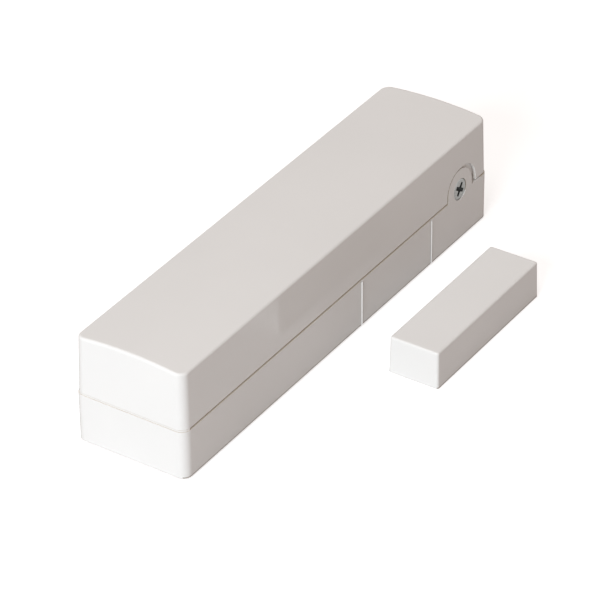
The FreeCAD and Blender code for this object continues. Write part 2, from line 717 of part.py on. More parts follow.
def add_posts(body):
    """Six posts carry the board; two take its screws and two have locating pins."""
    posts = sketch(body, "board_posts", "xy", mm.floor_thick - OVERLAP)
    places = [(x, POST_Y * side) for x in (POST_NEAR_X, POST_MID_X, POST_FAR_X) for side in SIDES]
    for number, (x, y) in enumerate(places):
        circle(posts, f"post{number}", x, y, mm.post_radius)
    feature(body, "Pad", posts, mm.post_height + OVERLAP)
    pin_rise = mm.post_height + mm.pin_height
    for name, x, y in (("near_pin", POST_NEAR_X, -POST_Y), ("far_pin", POST_FAR_X, POST_Y)):
        hollow(body, "AdditiveCylinder", name, "z", (x, y, mm.floor_thick), pin_rise, mm.pin_radius)
    bite = mm.board_screw_bite + mm.tip_room
    for name, (x, y) in zip(("mid_pilot", "far_pilot"), board_screw_places()):
        start = (x, y, BOARD_FOOT - bite)
        hollow(body, "SubtractiveCylinder", name, "z", start, bite, mm.board_screw_radius + mm.thread_play)


def board_screw_places():
    return [(POST_MID_X, POST_Y), (POST_FAR_X, -POST_Y)]


def add_fixing_slots(body):
    """Two slots through the floor, each with a seat for a pan head."""
    seat_length = mm.slot_length + mm.slot_seat - mm.slot_width
    slots = (
        ("slot", mm.slot_width, mm.slot_length, 0, mm.floor_thick, True),
        ("seat", mm.slot_seat, seat_length, mm.floor_thick, mm.slot_seat_deep, False),
    )
    for name, wide, long, plane, depth, upwards in slots:
        straight = (long - wide) / 2
        ends = sketch(body, name + "_ends", "xy", plane)
        middles = sketch(body, name + "_middles", "xy", plane)
        for side, tag in zip(SIDES, ("near", "far")):
            centre = SLOT_X * side
            circle(ends, tag + "_low", centre - straight, 0, wide / 2)
            rectangle(middles, tag, (centre - straight, centre + straight), (wide / -2, wide / 2))
        feature(body, "Pocket", ends, depth, upwards)
        others = sketch(body, name + "_far_ends", "xy", plane)
        for side, tag in zip(SIDES, ("near", "far")):
            circle(others, tag + "_high", SLOT_X * side + straight, 0, wide / 2)
        feature(body, "Pocket", others, depth, upwards)
        feature(body, "Pocket", middles, depth, upwards)


def catch_face():
    """The face of a catch that a hook's toe must pass."""
    return -INNER_X + mm.fit_gap + mm.slide_room + mm.hook_thick + mm.hook_reach + mm.fit_gap


def add_catches(body):
    """Two posts near the hooked end, each with a nose that holds a hook's toe down."""
    face = catch_face()
    nose_low = mm.hook_low + mm.hook_toe + mm.fit_gap
    nose_top = nose_low + mm.hook_toe
    for side, name in zip(SIDES, ("right_catch", "left_catch")):
        outline = sketch(body, name, "xz", mm.hook_wide / 2 - mm.hook_y * side)
        polygon(
            outline,
            "catch",
            [
                (face, mm.floor_thick - OVERLAP),
                (face + mm.hook_thick, mm.floor_thick - OVERLAP),
                (face + mm.hook_thick, nose_top),
                (face - mm.hook_reach / 2, nose_top),
                (face - mm.hook_reach, nose_low + mm.hook_toe / 2),
                (face - mm.hook_reach, nose_low),
                (face, nose_low),
            ],
        )
        feature(body, "Pad", outline, mm.hook_wide, backwards=True)


def crowned_block(name, half_x, half_y, radius, corner, low):
    """A block with leaning walls, rounded upright corners and a roof curved across its width."""
    rise = mm.height + BEYOND - low
    block = leaning_block(name + "_block", half_x, half_y, low, rise, mm.draft)
    block = rounded(name + "_corners", block, corner, upright)
    reach = mm.length + 2
    arch = cylinder(name + "_arch", "x", (reach / -2, 0, CROWN_CENTRE), radius, reach)
    return common(name, block, arch)


def cover():
    """The crowned lid with its notch, screw block, hooks and ribs."""
    half_x = HALF_LENGTH - mm.cover_inset
    half_y = HALF_WIDTH - mm.cover_inset
    outside = crowned_block("cover_outside", half_x, half_y, CROWN_RADIUS, mm.corner, COVER_FOOT)
    DOC.recompute()
    outside = rounded("cover_rounding", outside, mm.top_round, above(mm.height - mm.crown - mm.wall))
    room_x, room_y = half_x - mm.wall, half_y - mm.wall
    arch = CROWN_RADIUS - mm.roof
    room = crowned_block("cover_room", room_x, room_y, arch, mm.corner - mm.wall, COVER_FOOT)
    ledge_x = HALF_LENGTH - mm.lip_setback + mm.lip_play
    ledge_y = HALF_WIDTH - mm.lip_setback + mm.lip_play
    ledge = box("ledge_block", (-ledge_x, INNER_X), (-ledge_y, ledge_y), (COVER_FOOT, LIP_TOP))
    ledge = rounded("ledge", ledge, mm.corner - mm.lip_setback + mm.lip_play, upright)
    shell = cut("cover_shell", outside, room, ledge, notch(), collar_room())
    parts = [shell, screw_block(), tamper_post()] + hooks() + cell_ribs()
    joined = fuse("cover_joined", *parts)
    trimmed = common("cover_trimmed", joined, crowned_block_tall(half_x, half_y))
    start = (TONGUE_X, TONGUE_BACK, SCREW_Z)
    bite = mm.fit_gap + mm.block_depth - mm.block_skin
    pilot = cylinder("cover_pilot", "y", start, mm.screw_radius + mm.thread_play, bite)
    return piece("cover", cut("cover", trimmed, pilot))


def crowned_block_tall(half_x, half_y):
    """The cover's outer skin continued down to the floor, which trims the ribs and keeps the hooks."""
    low = mm.floor_thick
    reach = mm.length + 2
    grown = (COVER_FOOT - low) * tan(mm.draft)
    skin = leaning_block("skin", half_x + grown, half_y + grown, low, mm.height + BEYOND - low, mm.draft)
    arch = cylinder("skin_arch", "x", (reach / -2, 0, CROWN_CENTRE), CROWN_RADIUS - mm.roof / 2, reach)
    inner = common("skin_inner", skin, arch)
    wall_band = box("skin_band", (-HALF_LENGTH, HALF_LENGTH), (-HALF_WIDTH, HALF_WIDTH), (low, mm.height))
    return fuse("skin_all", inner, wall_band)


def notch():
    """The cut in the cover's side that clears the tongue."""
    deep = BEYOND + mm.wall + mm.cover_inset + mm.fit_gap
    return slid_arch("notch", TONGUE_X, mm.tongue_radius + mm.notch_play, -HALF_WIDTH - BEYOND, deep)


def collar_room():
    """The rebate inside the cover's wall that clears the collar."""
    outside = mm.lip_setback - mm.lip_play - HALF_WIDTH
    return slid_arch("collar_room", COLLAR_X, COLLAR_RADIUS + mm.lip_play, outside, mm.wall)


def slid_arch(name, x, radius, outside, deep):
    """An arch over the screw, drawn out so that the cover can slide."""
    slid = x + mm.slide_room
    through = (outside, outside + deep)
    return fuse(
        name,
        cylinder(f"{name}_near", "y", (x, outside, SCREW_Z), radius, deep),
        cylinder(f"{name}_far", "y", (slid, outside, SCREW_Z), radius, deep),
        box(f"{name}_top", (x, slid), through, (SCREW_Z, SCREW_Z + radius)),
        box(f"{name}_foot", (x - radius, slid + radius), through, (COVER_FOOT - BEYOND, SCREW_Z)),
    )


def screw_block():
    """The pillar behind the tongue that the screw bites into."""
    front = TONGUE_BACK + mm.fit_gap
    back = front + mm.block_depth
    sides = (TONGUE_X - mm.block_radius, TONGUE_X + mm.block_radius)
    top = CEILING + mm.roof / 4
    root = SCREW_Z + COLLAR_RADIUS + mm.lip_play + mm.fit_gap
    return fuse(
        "screw_block",
        box("block_pillar", sides, (front, back), (SCREW_Z, top)),
        cylinder("block_round", "y", (TONGUE_X, front, SCREW_Z), mm.block_radius, mm.block_depth),
        box("block_root", sides, (front - mm.wall / 2, back), (root, top)),
    )


def hooks():
    """Two hooks at the near end, whose toes slide under the catches of the base."""
    back = -INNER_X + mm.fit_gap + mm.slide_room
    toe_top = mm.hook_low + mm.hook_toe
    made = []
    for side, name in zip(SIDES, ("right_hook", "left_hook")):
        sides = (mm.hook_y * side - mm.hook_wide / 2, mm.hook_y * side + mm.hook_wide / 2)
        leg = box(name + "_leg", (back, back + mm.hook_thick), sides, (mm.hook_low, CEILING))
        toe = box(name + "_toe", (back, back + mm.hook_thick + mm.hook_reach), sides, (mm.hook_low, toe_top))
        web_z = (COVER_FOOT + mm.lip_height + mm.lip_play, CEILING)
        web_x = (-INNER_X, back + mm.hook_thick / 2)
        web = box(name + "_web", web_x, (sides[0] + mm.hook_thick, sides[1] - mm.hook_thick), web_z)
        made += [leg, toe, web]
    return made


def cell_ribs():
    """Two ribs on the roof that keep the cell from lifting out."""
    z_range = (CELL_Z + mm.cell_radius + mm.fit_gap, CEILING + mm.roof / 2)
    made = []
    for name, x in (("near_rib", CELL_X0 + mm.wall * 3), ("far_rib", CELL_X1 - mm.wall * 3)):
        made.append(box(name, (x, x + mm.rib_thick), (-mm.rib_half, mm.rib_half), z_range))
    return made


def tamper_post():
    """The post that holds the tamper spring down while the cover is on."""
    start = (TAMPER_X, 0, TAMPER_TOP)
    return cylinder("tamper_post", "z", start, mm.press_radius, CEILING - TAMPER_TOP + mm.roof / 4)


def cover_screw():
    """A countersunk screw with a cross recess, which lies along Y."""
    tip_cone = mm.screw_radius
    land_y = SCREW_HEAD_Y + mm.head_land
    shank_y = land_y + mm.head_cone
    tip_y = SCREW_HEAD_Y + mm.screw_length - tip_cone
    head = mm.screw_head_radius
    parts = (
        cylinder("head_edge", "y", (TONGUE_X, SCREW_HEAD_Y, SCREW_Z), head, mm.head_land),
        cone("head_under", "y", (TONGUE_X, land_y, SCREW_Z), head, mm.screw_radius, mm.head_cone),
        cylinder("shank", "y", (TONGUE_X, shank_y, SCREW_Z), mm.screw_radius, tip_y - shank_y),
        cone("tip", "y", (TONGUE_X, tip_y, SCREW_Z), mm.screw_radius, mm.screw_radius / 4, tip_cone),
    )
    blank = fuse("screw_blank", *parts)
    wings = [recess_wing(name, turn) for name, turn in (("wing_one", 0), ("wing_two", 90))]
    return piece("cover_screw", cut("cover_screw", blank, *wings))


def recess_wing(name, quarter):
    """One tapered bar of the cross recess."""
    wing = DOC.addObject("Part::Wedge", name)
    span = mm.recess_span / 2
    narrow = mm.recess_wing / 2
    bind(wing, Xmin=-span, Xmax=span, Zmin=-narrow, Zmax=narrow, Ymin=-OVERLAP, Ymax=mm.recess_depth)
    bind(wing, X2min=span / -3, X2max=span / 3, Z2min=narrow / -2, Z2max=narrow / 2)
    turn = Rotation(Vector(0, 1, 0), mm.recess_turn.value + quarter)
    return place(wing, TONGUE_X, SCREW_HEAD_Y, SCREW_Z, turn)


# The electronics


def circuit_board():
    """The board with its openings over the fixing slots and its holes."""
    plate = box("board_blank", (BOARD_X0, BOARD_X1), (-BOARD_Y, BOARD_Y), (BOARD_FOOT, BOARD_TOP))
    plate = rounded("board_plate", plate, mm.board_corner, upright)
    low = BOARD_FOOT - 1
    deep = mm.board_thick + 2
    tools = []
    for side, name in zip(SIDES, ("near_access", "far_access")):
        centre = SLOT_X * side
        tools.append(cylinder(name, "z", (centre, 0, low), mm.access_width / 2, deep))
    holes = [("pin_near", POST_NEAR_X, -POST_Y, mm.pin_radius)]
    holes += [("pin_far", POST_FAR_X, POST_Y, mm.pin_radius)]
    holes += [("screw_hole", x, y, mm.board_screw_radius) for x, y in board_screw_places()]
    holes += [("lead_hole", x, REED_Y, mm.lead_radius) for x in (LEAD_X0, LEAD_X1)]
    holes += [("aerial_hole", ANTENNA_X, ANTENNA_Y, mm.antenna_radius)]
    for name, x, y, radius in holes:
        tools.append(cylinder(name, "z", (x, y, low), radius + mm.tail_play, deep))
    for name, x in contact_tails():
        tools.append(tail_slot(name + "_slot", x, low, BOARD_TOP + BEYOND))
    return piece("circuit_board", cut("circuit_board", plate, *tools))


def contact_tails():
    """The name and the middle of each solder tail along the housing."""
    half = mm.contact_thick / 2
    return [("minus_tail", HOLDER_INNER_X0 + half), ("plus_tail", HOLDER_INNER_X1 - half)]


def tail_slot(name, x, low, high):
    half_x = mm.contact_thick / 2 + mm.tail_play
    half_y = mm.tail_wide / 2 + mm.tail_play
    return box(name, (x - half_x, x + half_x), (-half_y, half_y), (low, high))


def board_screws():
    """Two pan-head screws that hold the board down."""
    made = []
    for number, (x, y) in enumerate(board_screw_places()):
        rim = mm.board_screw_rise / 2
        head = cylinder(f"pan{number}", "z", (x, y, BOARD_TOP), mm.board_screw_head, rim)
        crest = (x, y, BOARD_TOP + rim)
        dome = cone(f"pan_dome{number}", "z", crest, mm.board_screw_head, mm.board_screw_radius, rim)
        low = BOARD_FOOT - mm.board_screw_bite
        shank = cylinder(f"pan_shank{number}", "z", (x, y, low), mm.board_screw_radius, BOARD_TOP - low)
        wing = mm.board_screw_radius
        slot_z = (BOARD_TOP + rim, BOARD_TOP + mm.board_screw_rise * 2)
        bar = mm.recess_wing / 3
        bars = (
            box(f"pan_bar{number}", (x - wing, x + wing), (y - bar, y + bar), slot_z),
            box(f"pan_cross{number}", (x - bar, x + bar), (y - wing, y + wing), slot_z),
        )
        made.append(cut(f"board_screw{number}", fuse(f"pan_blank{number}", head, dome, shank), *bars))
    return piece("board_screws", group("board_screws", *made))


def battery_holder():
    """An open tray soldered to the board, with a window over the near fixing slot."""
    outer_y = HOLDER_INNER_Y + mm.holder_wall
    body = new_body("battery_holder")
    plan = sketch(body, "holder_plan", "xy", BOARD_TOP)
    rectangle(plan, "plan", (HOLDER_X0, HOLDER_X1), (-outer_y, outer_y))
    block = feature(body, "Pad", plan, mm.holder_rise)
    block = body_rounding(body, block, "holder_corners", mm.holder_wall / 2, upright)
    room = sketch(body, "holder_room", "xy", HOLDER_TOP)
    rectangle(room, "room", (HOLDER_INNER_X0, HOLDER_INNER_X1), (-HOLDER_INNER_Y, HOLDER_INNER_Y))
    feature(body, "Pocket", room, mm.holder_rise - mm.holder_floor)
    dips = sketch(body, "finger_dips", "xz", outer_y + BEYOND)
    middle = (HOLDER_X0 + HOLDER_X1) / 2
    dip = mm.cell_radius / 2
    finger = mm.holder_rise / 2
    polygon(
        dips,
        "dip",
        [
            (middle - dip - finger, HOLDER_TOP + BEYOND),
            (middle - dip, HOLDER_TOP - finger),
            (middle + dip, HOLDER_TOP - finger),
            (middle + dip + finger, HOLDER_TOP + BEYOND),
        ],
    )
    feature(body, "Pocket", dips, outer_y * 2 + BEYOND * 2)
    floor_cuts = sketch(body, "holder_cuts", "xy", BOARD_TOP + mm.holder_floor)
    window_x = -SLOT_X
    half_window = mm.holder_window / 2
    half_access = mm.access_width / 2
    window = (window_x - half_window, window_x + half_window)
    rectangle(floor_cuts, "window", window, (-half_access, half_access))
    half_tail = mm.tail_wide / 2 + mm.tail_play
    half_thick = mm.contact_thick / 2 + mm.tail_play
    for name, x in contact_tails():
        rectangle(floor_cuts, name, (x - half_thick, x + half_thick), (-half_tail, half_tail))
    feature(body, "Pocket", floor_cuts, mm.holder_floor)
    return piece("battery_holder", body)


def battery_cell():
    """A lithium cell lying along the housing, with its raised pole at the far end."""
    length = mm.cell_length - mm.cell_nub
    rim = mm.cell_round
    small = mm.cell_radius - rim
    end = CELL_X0 + length
    parts = (
        cone("cell_near_rim", "x", (CELL_X0, 0, CELL_Z), small, mm.cell_radius, rim),
        cylinder("cell_can", "x", (CELL_X0 + rim, 0, CELL_Z), mm.cell_radius, length - rim * 2),
        cone("cell_far_rim", "x", (end - rim, 0, CELL_Z), mm.cell_radius, small, rim),
        cylinder("cell_pole", "x", (end, 0, CELL_Z), mm.cell_nub_radius, mm.cell_nub),
    )
    return piece("battery_cell", fuse("battery_cell", *parts))


def contact(name, x, extra=()):
    """A flat contact plate with its solder tail."""
    half = mm.contact_thick / 2
    low = BOARD_TOP + mm.holder_floor
    wide = (mm.contact_wide / -2, mm.contact_wide / 2)
    plate = box(name + "_plate", (x - half, x + half), wide, (low, BOARD_TOP + mm.contact_rise))
    tail_y = (mm.tail_wide / -2, mm.tail_wide / 2)
    tail = box(name + "_tail", (x - half, x + half), tail_y, (BOARD_FOOT - mm.tail_drop, low))
    return piece(name, fuse(name, plate, tail, *extra))


def battery_contacts():
    """A flat contact for the raised pole and a sprung one for the flat pole."""
    (_, near), (_, far) = contact_tails()
    top = BOARD_TOP + mm.contact_rise - mm.contact_thick
    reach = near + mm.contact_thick / 2 + mm.spring_reach
    touch = reach - mm.contact_thick / 2
    points = [
        (near, 0, top - mm.cell_radius / 4),
        (near, 0, top + mm.contact_thick),
        (touch, 0, CELL_Z + mm.spring_touch),
        (touch, 0, CELL_Z - mm.spring_touch),
        (near + mm.spring_reach / 2, 0, CELL_Z - mm.cell_radius / 2),
    ]
    leaf_wide = mm.contact_wide - mm.tail_wide
    leaf = bent_strip("leaf", points, mm.contact_thick, leaf_wide, mm.contact_thick.value)
    contact("battery_contact_minus", near, (leaf,))
    contact("battery_contact_plus", far)


def reed_switch():
    """A glass tube with two thin iron blades that close when the magnet is near."""
    half = mm.reed_length / 2
    inner = mm.reed_radius - mm.reed_glass
    dome = mm.reed_radius
    start = mm.magnet_x - half

    def capsule(name, radius, inset):
        first = start + inset + radius
        last = mm.magnet_x + half - inset - radius
        balls = []
        for tag, x in (("_a", first), ("_b", last)):
            ball = DOC.addObject("Part::Sphere", name + tag)
            bind(ball, Radius=radius)
            balls.append(place(ball, x, REED_Y, REED_Z))
        tube = cylinder(name + "_tube", "x", (first, REED_Y, REED_Z), radius, last - first)
        return fuse(name, tube, *balls)

    outside = capsule("glass_outside", dome, 0)
    inside = capsule("glass_inside", inner, mm.reed_glass * 3)
    seal_length = mm.reed_length + BEYOND * 2
    seal = cylinder("lead_seal", "x", (start - BEYOND, REED_Y, REED_Z), mm.lead_radius, seal_length)
    piece("reed_glass", cut("reed_glass", outside, inside, seal))
    for side, name in zip(SIDES, ("reed_blade_near", "reed_blade_far")):
        reed_blade(name, side, half, inner)


def reed_blade(name, side, half, inner):
    """One lead, round outside the glass and flattened to a blade inside it."""
    foot_x = LEAD_X0 if side < 0 else LEAD_X1
    flat_from = mm.magnet_x + (half - inner - mm.reed_glass * 3) * side
    foot_z = BOARD_FOOT - mm.tail_drop
    points = [(foot_x, REED_Y, foot_z), (foot_x, REED_Y, REED_Z), (flat_from, REED_Y, REED_Z)]
    wire = bent_wire(name + "_wire", points, mm.lead_radius, mm.lead_radius * 2)
    tip = mm.magnet_x - mm.blade_lap / 2 * side
    ends = (flat_from, tip) if side < 0 else (tip, flat_from)
    shift = (mm.blade_gap + mm.blade_thick) / 2 * side
    sides = (REED_Y + shift - mm.blade_thick / 2, REED_Y + shift + mm.blade_thick / 2)
    flat = box(name + "_flat", ends, sides, (REED_Z - mm.blade_wide / 2, REED_Z + mm.blade_wide / 2))
    return piece(name, fuse(name, wire, flat, solder(name + "_solder", foot_x, REED_Y, mm.lead_radius)))


def solder(name, x, y, radius):
    """The cone of solder that holds a lead to the board."""
    return cone(name, "z", (x, y, BOARD_TOP), radius + mm.solder_spread, radius, mm.solder_rise)


def controller_chip():
    """A flat chip with gull-wing leads on four sides."""
    half = mm.chip_side / 2
    low = BOARD_TOP + mm.chip_lead_thick / 2
    sides = (CHIP_X - half, CHIP_X + half)
    case = box("chip_case", sides, (-half, half), (low, low + mm.chip_rise))
    case = rounded("chip_soft", case, mm.chip_lead_thick / 2, upright)
    dot_at = (sides[0] + mm.chip_dot_inset, mm.chip_dot_inset - half, low + mm.chip_rise - OVERLAP)
    dot = cylinder("chip_dot", "z", dot_at, mm.chip_lead_wide, BEYOND)
    case = cut("chip_marked", case, dot)
    reach = mm.chip_lead_reach.value
    thick = mm.chip_lead_thick.value
    middle = low.value + mm.chip_rise.value / 2
    edge = half.value
    shoulder, heel, toe = edge + reach * 0.4, edge + reach * 0.5, edge + reach
    foot = BOARD_TOP.value
    profile = [
        (edge - thick, middle),
        (shoulder, middle),
        (heel, foot),
        (toe, foot),
        (toe, foot + thick),
        (heel + thick, foot + thick),
        (shoulder + thick, middle + thick),
        (edge - thick, middle + thick),
    ]
    corners = [Vector(x, mm.chip_lead_wide.value / -2, z) for x, z in profile]
    lead = Part.Face(Part.makePolygon(corners + corners[:1])).extrude(Vector(0, mm.chip_lead_wide.value, 0))
    per_side = int(mm.chip_side.value / mm.chip_pitch.value) - 1
    leads = []
    for turn in range(4):
        for number in range(per_side):
            copy = lead.copy()
            copy.translate(Vector(0, (number - (per_side - 1) / 2) * mm.chip_pitch.value, 0))
            copy.rotate(Vector(), Vector(0, 0, 1), 90 * turn)
            copy.translate(Vector(CHIP_X.value, 0, 0))
            leads.append(copy)
    feet = DOC.addObject("Part::Feature", "chip_leads")
    feet.Shape = Part.makeCompound(leads)
    return piece("controller_chip", fuse("controller_chip", case, feet))


def crystal_can():
    """A low metal can with round ends on a wider foot."""
    made = []
    flange = mm.crystal_flange
    levels = (("crystal_foot", flange, 0, flange), ("crystal_top", 0, flange, mm.crystal_rise - flange))
    for name, grow, low, rise in levels:
        radius = mm.crystal_wide / 2 + grow
        reach = mm.crystal_length / 2 - mm.crystal_wide / 2
        start_z = BOARD_TOP + low
        x_range = (CHIP_X - reach, CHIP_X + reach)
        y_range = (mm.crystal_y - radius, mm.crystal_y + radius)
        made.append(box(name, x_range, y_range, (start_z, start_z + rise)))
        for side in SIDES:
            start = (CHIP_X + reach * side, mm.crystal_y, start_z)
            made.append(cylinder(name + "_end", "z", start, radius, rise))
    can = fuse("crystal_blank", *made)
    top_edges = above(BOARD_TOP + mm.crystal_rise - flange)
    return piece("crystal_can", rounded("crystal_can", can, flange, top_edges))


def radio_shield():
    """A folded lid of thin sheet over the radio parts, with vent holes."""
    half_x, half_y = mm.shield_length / 2, mm.shield_wide / 2
    top = BOARD_TOP + mm.shield_rise
    x_range = (SHIELD_X - half_x, SHIELD_X + half_x)
    y_range = (mm.shield_y - half_y, mm.shield_y + half_y)
    lid = box("shield_outside", x_range, y_range, (BOARD_TOP, top))
    lid = rounded("shield_soft", lid, mm.shield_thick * 1.6, upright)
    room = box(
        "shield_inside",
        (x_range[0] + mm.shield_thick, x_range[1] - mm.shield_thick),
        (y_range[0] + mm.shield_thick, y_range[1] - mm.shield_thick),
        (BOARD_TOP - BEYOND, top - mm.shield_thick),
    )
    holes = []
    for column in (-1, 0, 1):
        for row in SIDES:
            start = (SHIELD_X + half_x / 2 * column, mm.shield_y + half_y / 2.5 * row, top - BEYOND)
            holes.append(cylinder("shield_hole", "z", start, mm.shield_hole, BEYOND * 2))
    return piece("radio_shield", cut("radio_shield", lid, room, *holes))


def antenna_wire():
    """A quarter-wave aerial that rises from the board and runs back above it."""
    top = BOARD_TOP + mm.antenna_rise
    points = [
        (ANTENNA_X, ANTENNA_Y, BOARD_FOOT - mm.tail_drop),
        (ANTENNA_X, ANTENNA_Y, top),
        (ANTENNA_X - mm.antenna_run, ANTENNA_Y, top),
    ]
    wire = bent_wire("aerial", points, mm.antenna_radius, mm.antenna_bend)
    foot = solder("aerial_solder", ANTENNA_X, ANTENNA_Y, mm.antenna_radius)
    return piece("antenna_wire", fuse("antenna_wire", wire, foot))


def link_header():
    """Three square pins in a plastic body, with a pull-off link on two of them."""
    half = mm.header_block / 2
    y_range = (mm.header_y - half, mm.header_y + half)
    start = HEADER_X - mm.header_pitch * 1.5
    body_top = BOARD_TOP + mm.header_block
    block = box("header_block", (start, start + mm.header_pitch * 3), y_range, (BOARD_TOP, body_top))
    pin_half = mm.header_pin / 2
    centres = [HEADER_X + mm.header_pitch * step for step in (-1, 0, 1)]
    pins, bores, rooms = [], [], []
    for number, x in enumerate(centres):
        sides = (x - pin_half, x + pin_half)
        across = (mm.header_y - pin_half, mm.header_y + pin_half)
        pins.append(box(f"pin{number}", sides, across, (BOARD_TOP, BOARD_TOP + mm.header_pin_rise)))
        bores.append(box(f"pin_bore{number}", sides, across, (BOARD_TOP - BEYOND, body_top + BEYOND)))
        room = pin_half + mm.link_play
        room_y = (mm.header_y - room, mm.header_y + room)
        room_z = (BOARD_TOP, BOARD_TOP + mm.header_pin_rise + mm.link_play)
        rooms.append(box(f"link_bore{number}", (x - room, x + room), room_y, room_z))
    piece("header_body", cut("header_body", block, *bores))
    piece("header_pins", group("header_pins", *pins))
    link_x = (start + mm.link_play, start + mm.header_pitch * 2 - mm.link_play)
    link_z = (body_top, body_top + mm.link_rise + mm.link_play * 6)
    link = rounded("link_blank", box("link_box", link_x, y_range, link_z), mm.link_round, upright)
    piece("setting_link", cut("setting_link", link, rooms[0], rooms[1]))


def terminal_block():
    """A two-pole cable terminal whose mouths face the break-out panel."""
    back = TERMINAL_Y0 + mm.terminal_deep
    body = new_body("terminal_block")
    side = sketch(body, "terminal_side", "yz", TERMINAL_X0)
    step = mm.terminal_step
    polygon(
        side,
        "side",
        [
            (TERMINAL_Y0, BOARD_TOP),
            (back, BOARD_TOP),
            (back, TERMINAL_TOP - step),
            (back - step, TERMINAL_TOP),
            (TERMINAL_Y0 + step, TERMINAL_TOP),
            (TERMINAL_Y0, TERMINAL_TOP - step * 2),
        ],
    )
    feature(body, "Pad", side, TERMINAL_X1 - TERMINAL_X0)
    mouths = sketch(body, "terminal_mouths", "xz", -TERMINAL_Y0)
    half = mm.terminal_mouth / 2
    low = BOARD_TOP + mm.terminal_step / 2
    for number, x in enumerate(POLES):
        rectangle(mouths, f"mouth{number}", (x - half, x + half), (low, low + mm.terminal_mouth))
    feature(body, "Pocket", mouths, mm.terminal_deep - mm.terminal_step / 2)
    wells = sketch(body, "terminal_wells", "xy", TERMINAL_TOP)
    middle = TERMINAL_Y0 + mm.terminal_deep / 2
    for number, x in enumerate(POLES):
        circle(wells, f"well{number}", x, middle, mm.terminal_screw + mm.screw_play)
    feature(body, "Pocket", wells, TERMINAL_TOP - low - mm.terminal_mouth + mm.link_play * 2)
    piece("terminal_block", body)
    terminal_metal(middle, low)


def terminal_metal(middle, low):
    """The clamp cages in the mouths and the slotted screws above them."""
    cages, screws = [], []
    half = mm.terminal_mouth / 2 - mm.link_play
    for number, x in enumerate(POLES):
        cage_top = low + half * 2
        outer = box(f"cage{number}", (x - half, x + half), (middle - half, middle + half), (low, cage_top))
        inner = box(
            f"cage_room{number}",
            (x - half + mm.terminal_cage, x + half - mm.terminal_cage),
            (middle - half - BEYOND, middle + half + BEYOND),
            (low + mm.terminal_cage, cage_top - mm.terminal_cage),
        )
        cages.append(cut(f"clamp{number}", outer, inner))
        top = TERMINAL_TOP - mm.terminal_step / 2
        rod = cylinder(f"clamp_screw{number}", "z", (x, middle, cage_top), mm.terminal_screw, top - cage_top)
        reach = mm.terminal_screw * 2
        slot_y = (middle - mm.terminal_cage, middle + mm.terminal_cage)
        slot_z = (top - mm.terminal_cage * 2, top + BEYOND)
        slot = box(f"clamp_slot{number}", (x - reach, x + reach), slot_y, slot_z)
        screws.append(cut(f"clamp_rod{number}", rod, slot))
    piece("terminal_cages", group("terminal_cages", *cages))
    piece("terminal_screws", group("terminal_screws", *screws))


def status_led():
    """A small domed lamp that glows through the cover's plastic."""
    start = (LED_X, mm.led_y, BOARD_TOP)
    straight = mm.led_rise - mm.led_radius
    dome = DOC.addObject("Part::Sphere", "led_dome")
    bind(dome, Radius=mm.led_radius)
    place(dome, LED_X, mm.led_y, BOARD_TOP + straight)
    parts = (
        cylinder("led_foot", "z", start, mm.led_flange, mm.led_flange_rise),
        cylinder("led_body", "z", start, mm.led_radius, straight),
        dome,
    )
    return piece("status_led", fuse("status_led", *parts))


def storage_capacitor():
    """An aluminium can with a rolled groove on a square plastic foot."""
    half = mm.cap_radius + mm.cap_base / 5
    y_range = (mm.cap_y - half, mm.cap_y + half)
    foot = box("cap_foot", (CAP_X - half, CAP_X + half), y_range, (BOARD_TOP, BOARD_TOP + mm.cap_base))
    foot = rounded("cap_foot_soft", foot, mm.cap_base, upright)
    piece("capacitor_foot", foot)
    step = mm.cap_step
    waist = mm.cap_radius - step
    low = BOARD_TOP + mm.cap_base
    upper = low + step * 4
    top = BOARD_TOP + mm.cap_rise
    parts = (
        cylinder("cap_foot_ring", "z", (CAP_X, mm.cap_y, low), mm.cap_radius, step),
        cone("cap_waist_in", "z", (CAP_X, mm.cap_y, low + step), mm.cap_radius, waist, step),
        cylinder("cap_waist", "z", (CAP_X, mm.cap_y, low + step * 2), waist, step),
        cone("cap_waist_out", "z", (CAP_X, mm.cap_y, low + step * 3), waist, mm.cap_radius, step),
        cylinder("cap_can", "z", (CAP_X, mm.cap_y, upper), mm.cap_radius, top - step - upper),
        cone("cap_rim", "z", (CAP_X, mm.cap_y, top - step), mm.cap_radius, waist, step),
    )
    piece("storage_capacitor", fuse("storage_capacitor", *parts))


def ceramic_capacitors():
    """A short row of small blocks beside the chip."""
    row_y = mm.chip_side / 2 + mm.chip_lead_reach + mm.chip_foot_gap
    y_range = (row_y, row_y + mm.smd_length)
    z_range = (BOARD_TOP, BOARD_TOP + mm.smd_rise)
    made = []
    for number in range(4):
        x = CHIP_X + mm.smd_pitch * (number - 1.5)
        made.append(box(f"ceramic{number}", (x - mm.smd_wide / 2, x + mm.smd_wide / 2), y_range, z_range))
    return piece("ceramic_capacitors", group("ceramic_capacitors", *made))


def tamper_spring():
    """A leaf soldered to the board, held down by the cover's post."""
    half = mm.tamper_thick / 2
    level = BOARD_TOP + half
    top = TAMPER_TOP - half
    points = [
        (TAMPER_FOOT_X, 0, level),
        (TAMPER_FOOT_X + mm.tamper_foot, 0, level),
        (TAMPER_X - mm.press_radius, 0, top),
        (TAMPER_X + mm.press_radius / 2, 0, top),
        (TAMPER_X + mm.press_radius, 0, top - mm.tamper_thick * 4),
    ]
    bend = mm.tamper_thick.value * 2
    return piece("tamper_spring", bent_strip("tamper_spring", points, mm.tamper_thick, mm.tamper_wide, bend))


# The magnet block


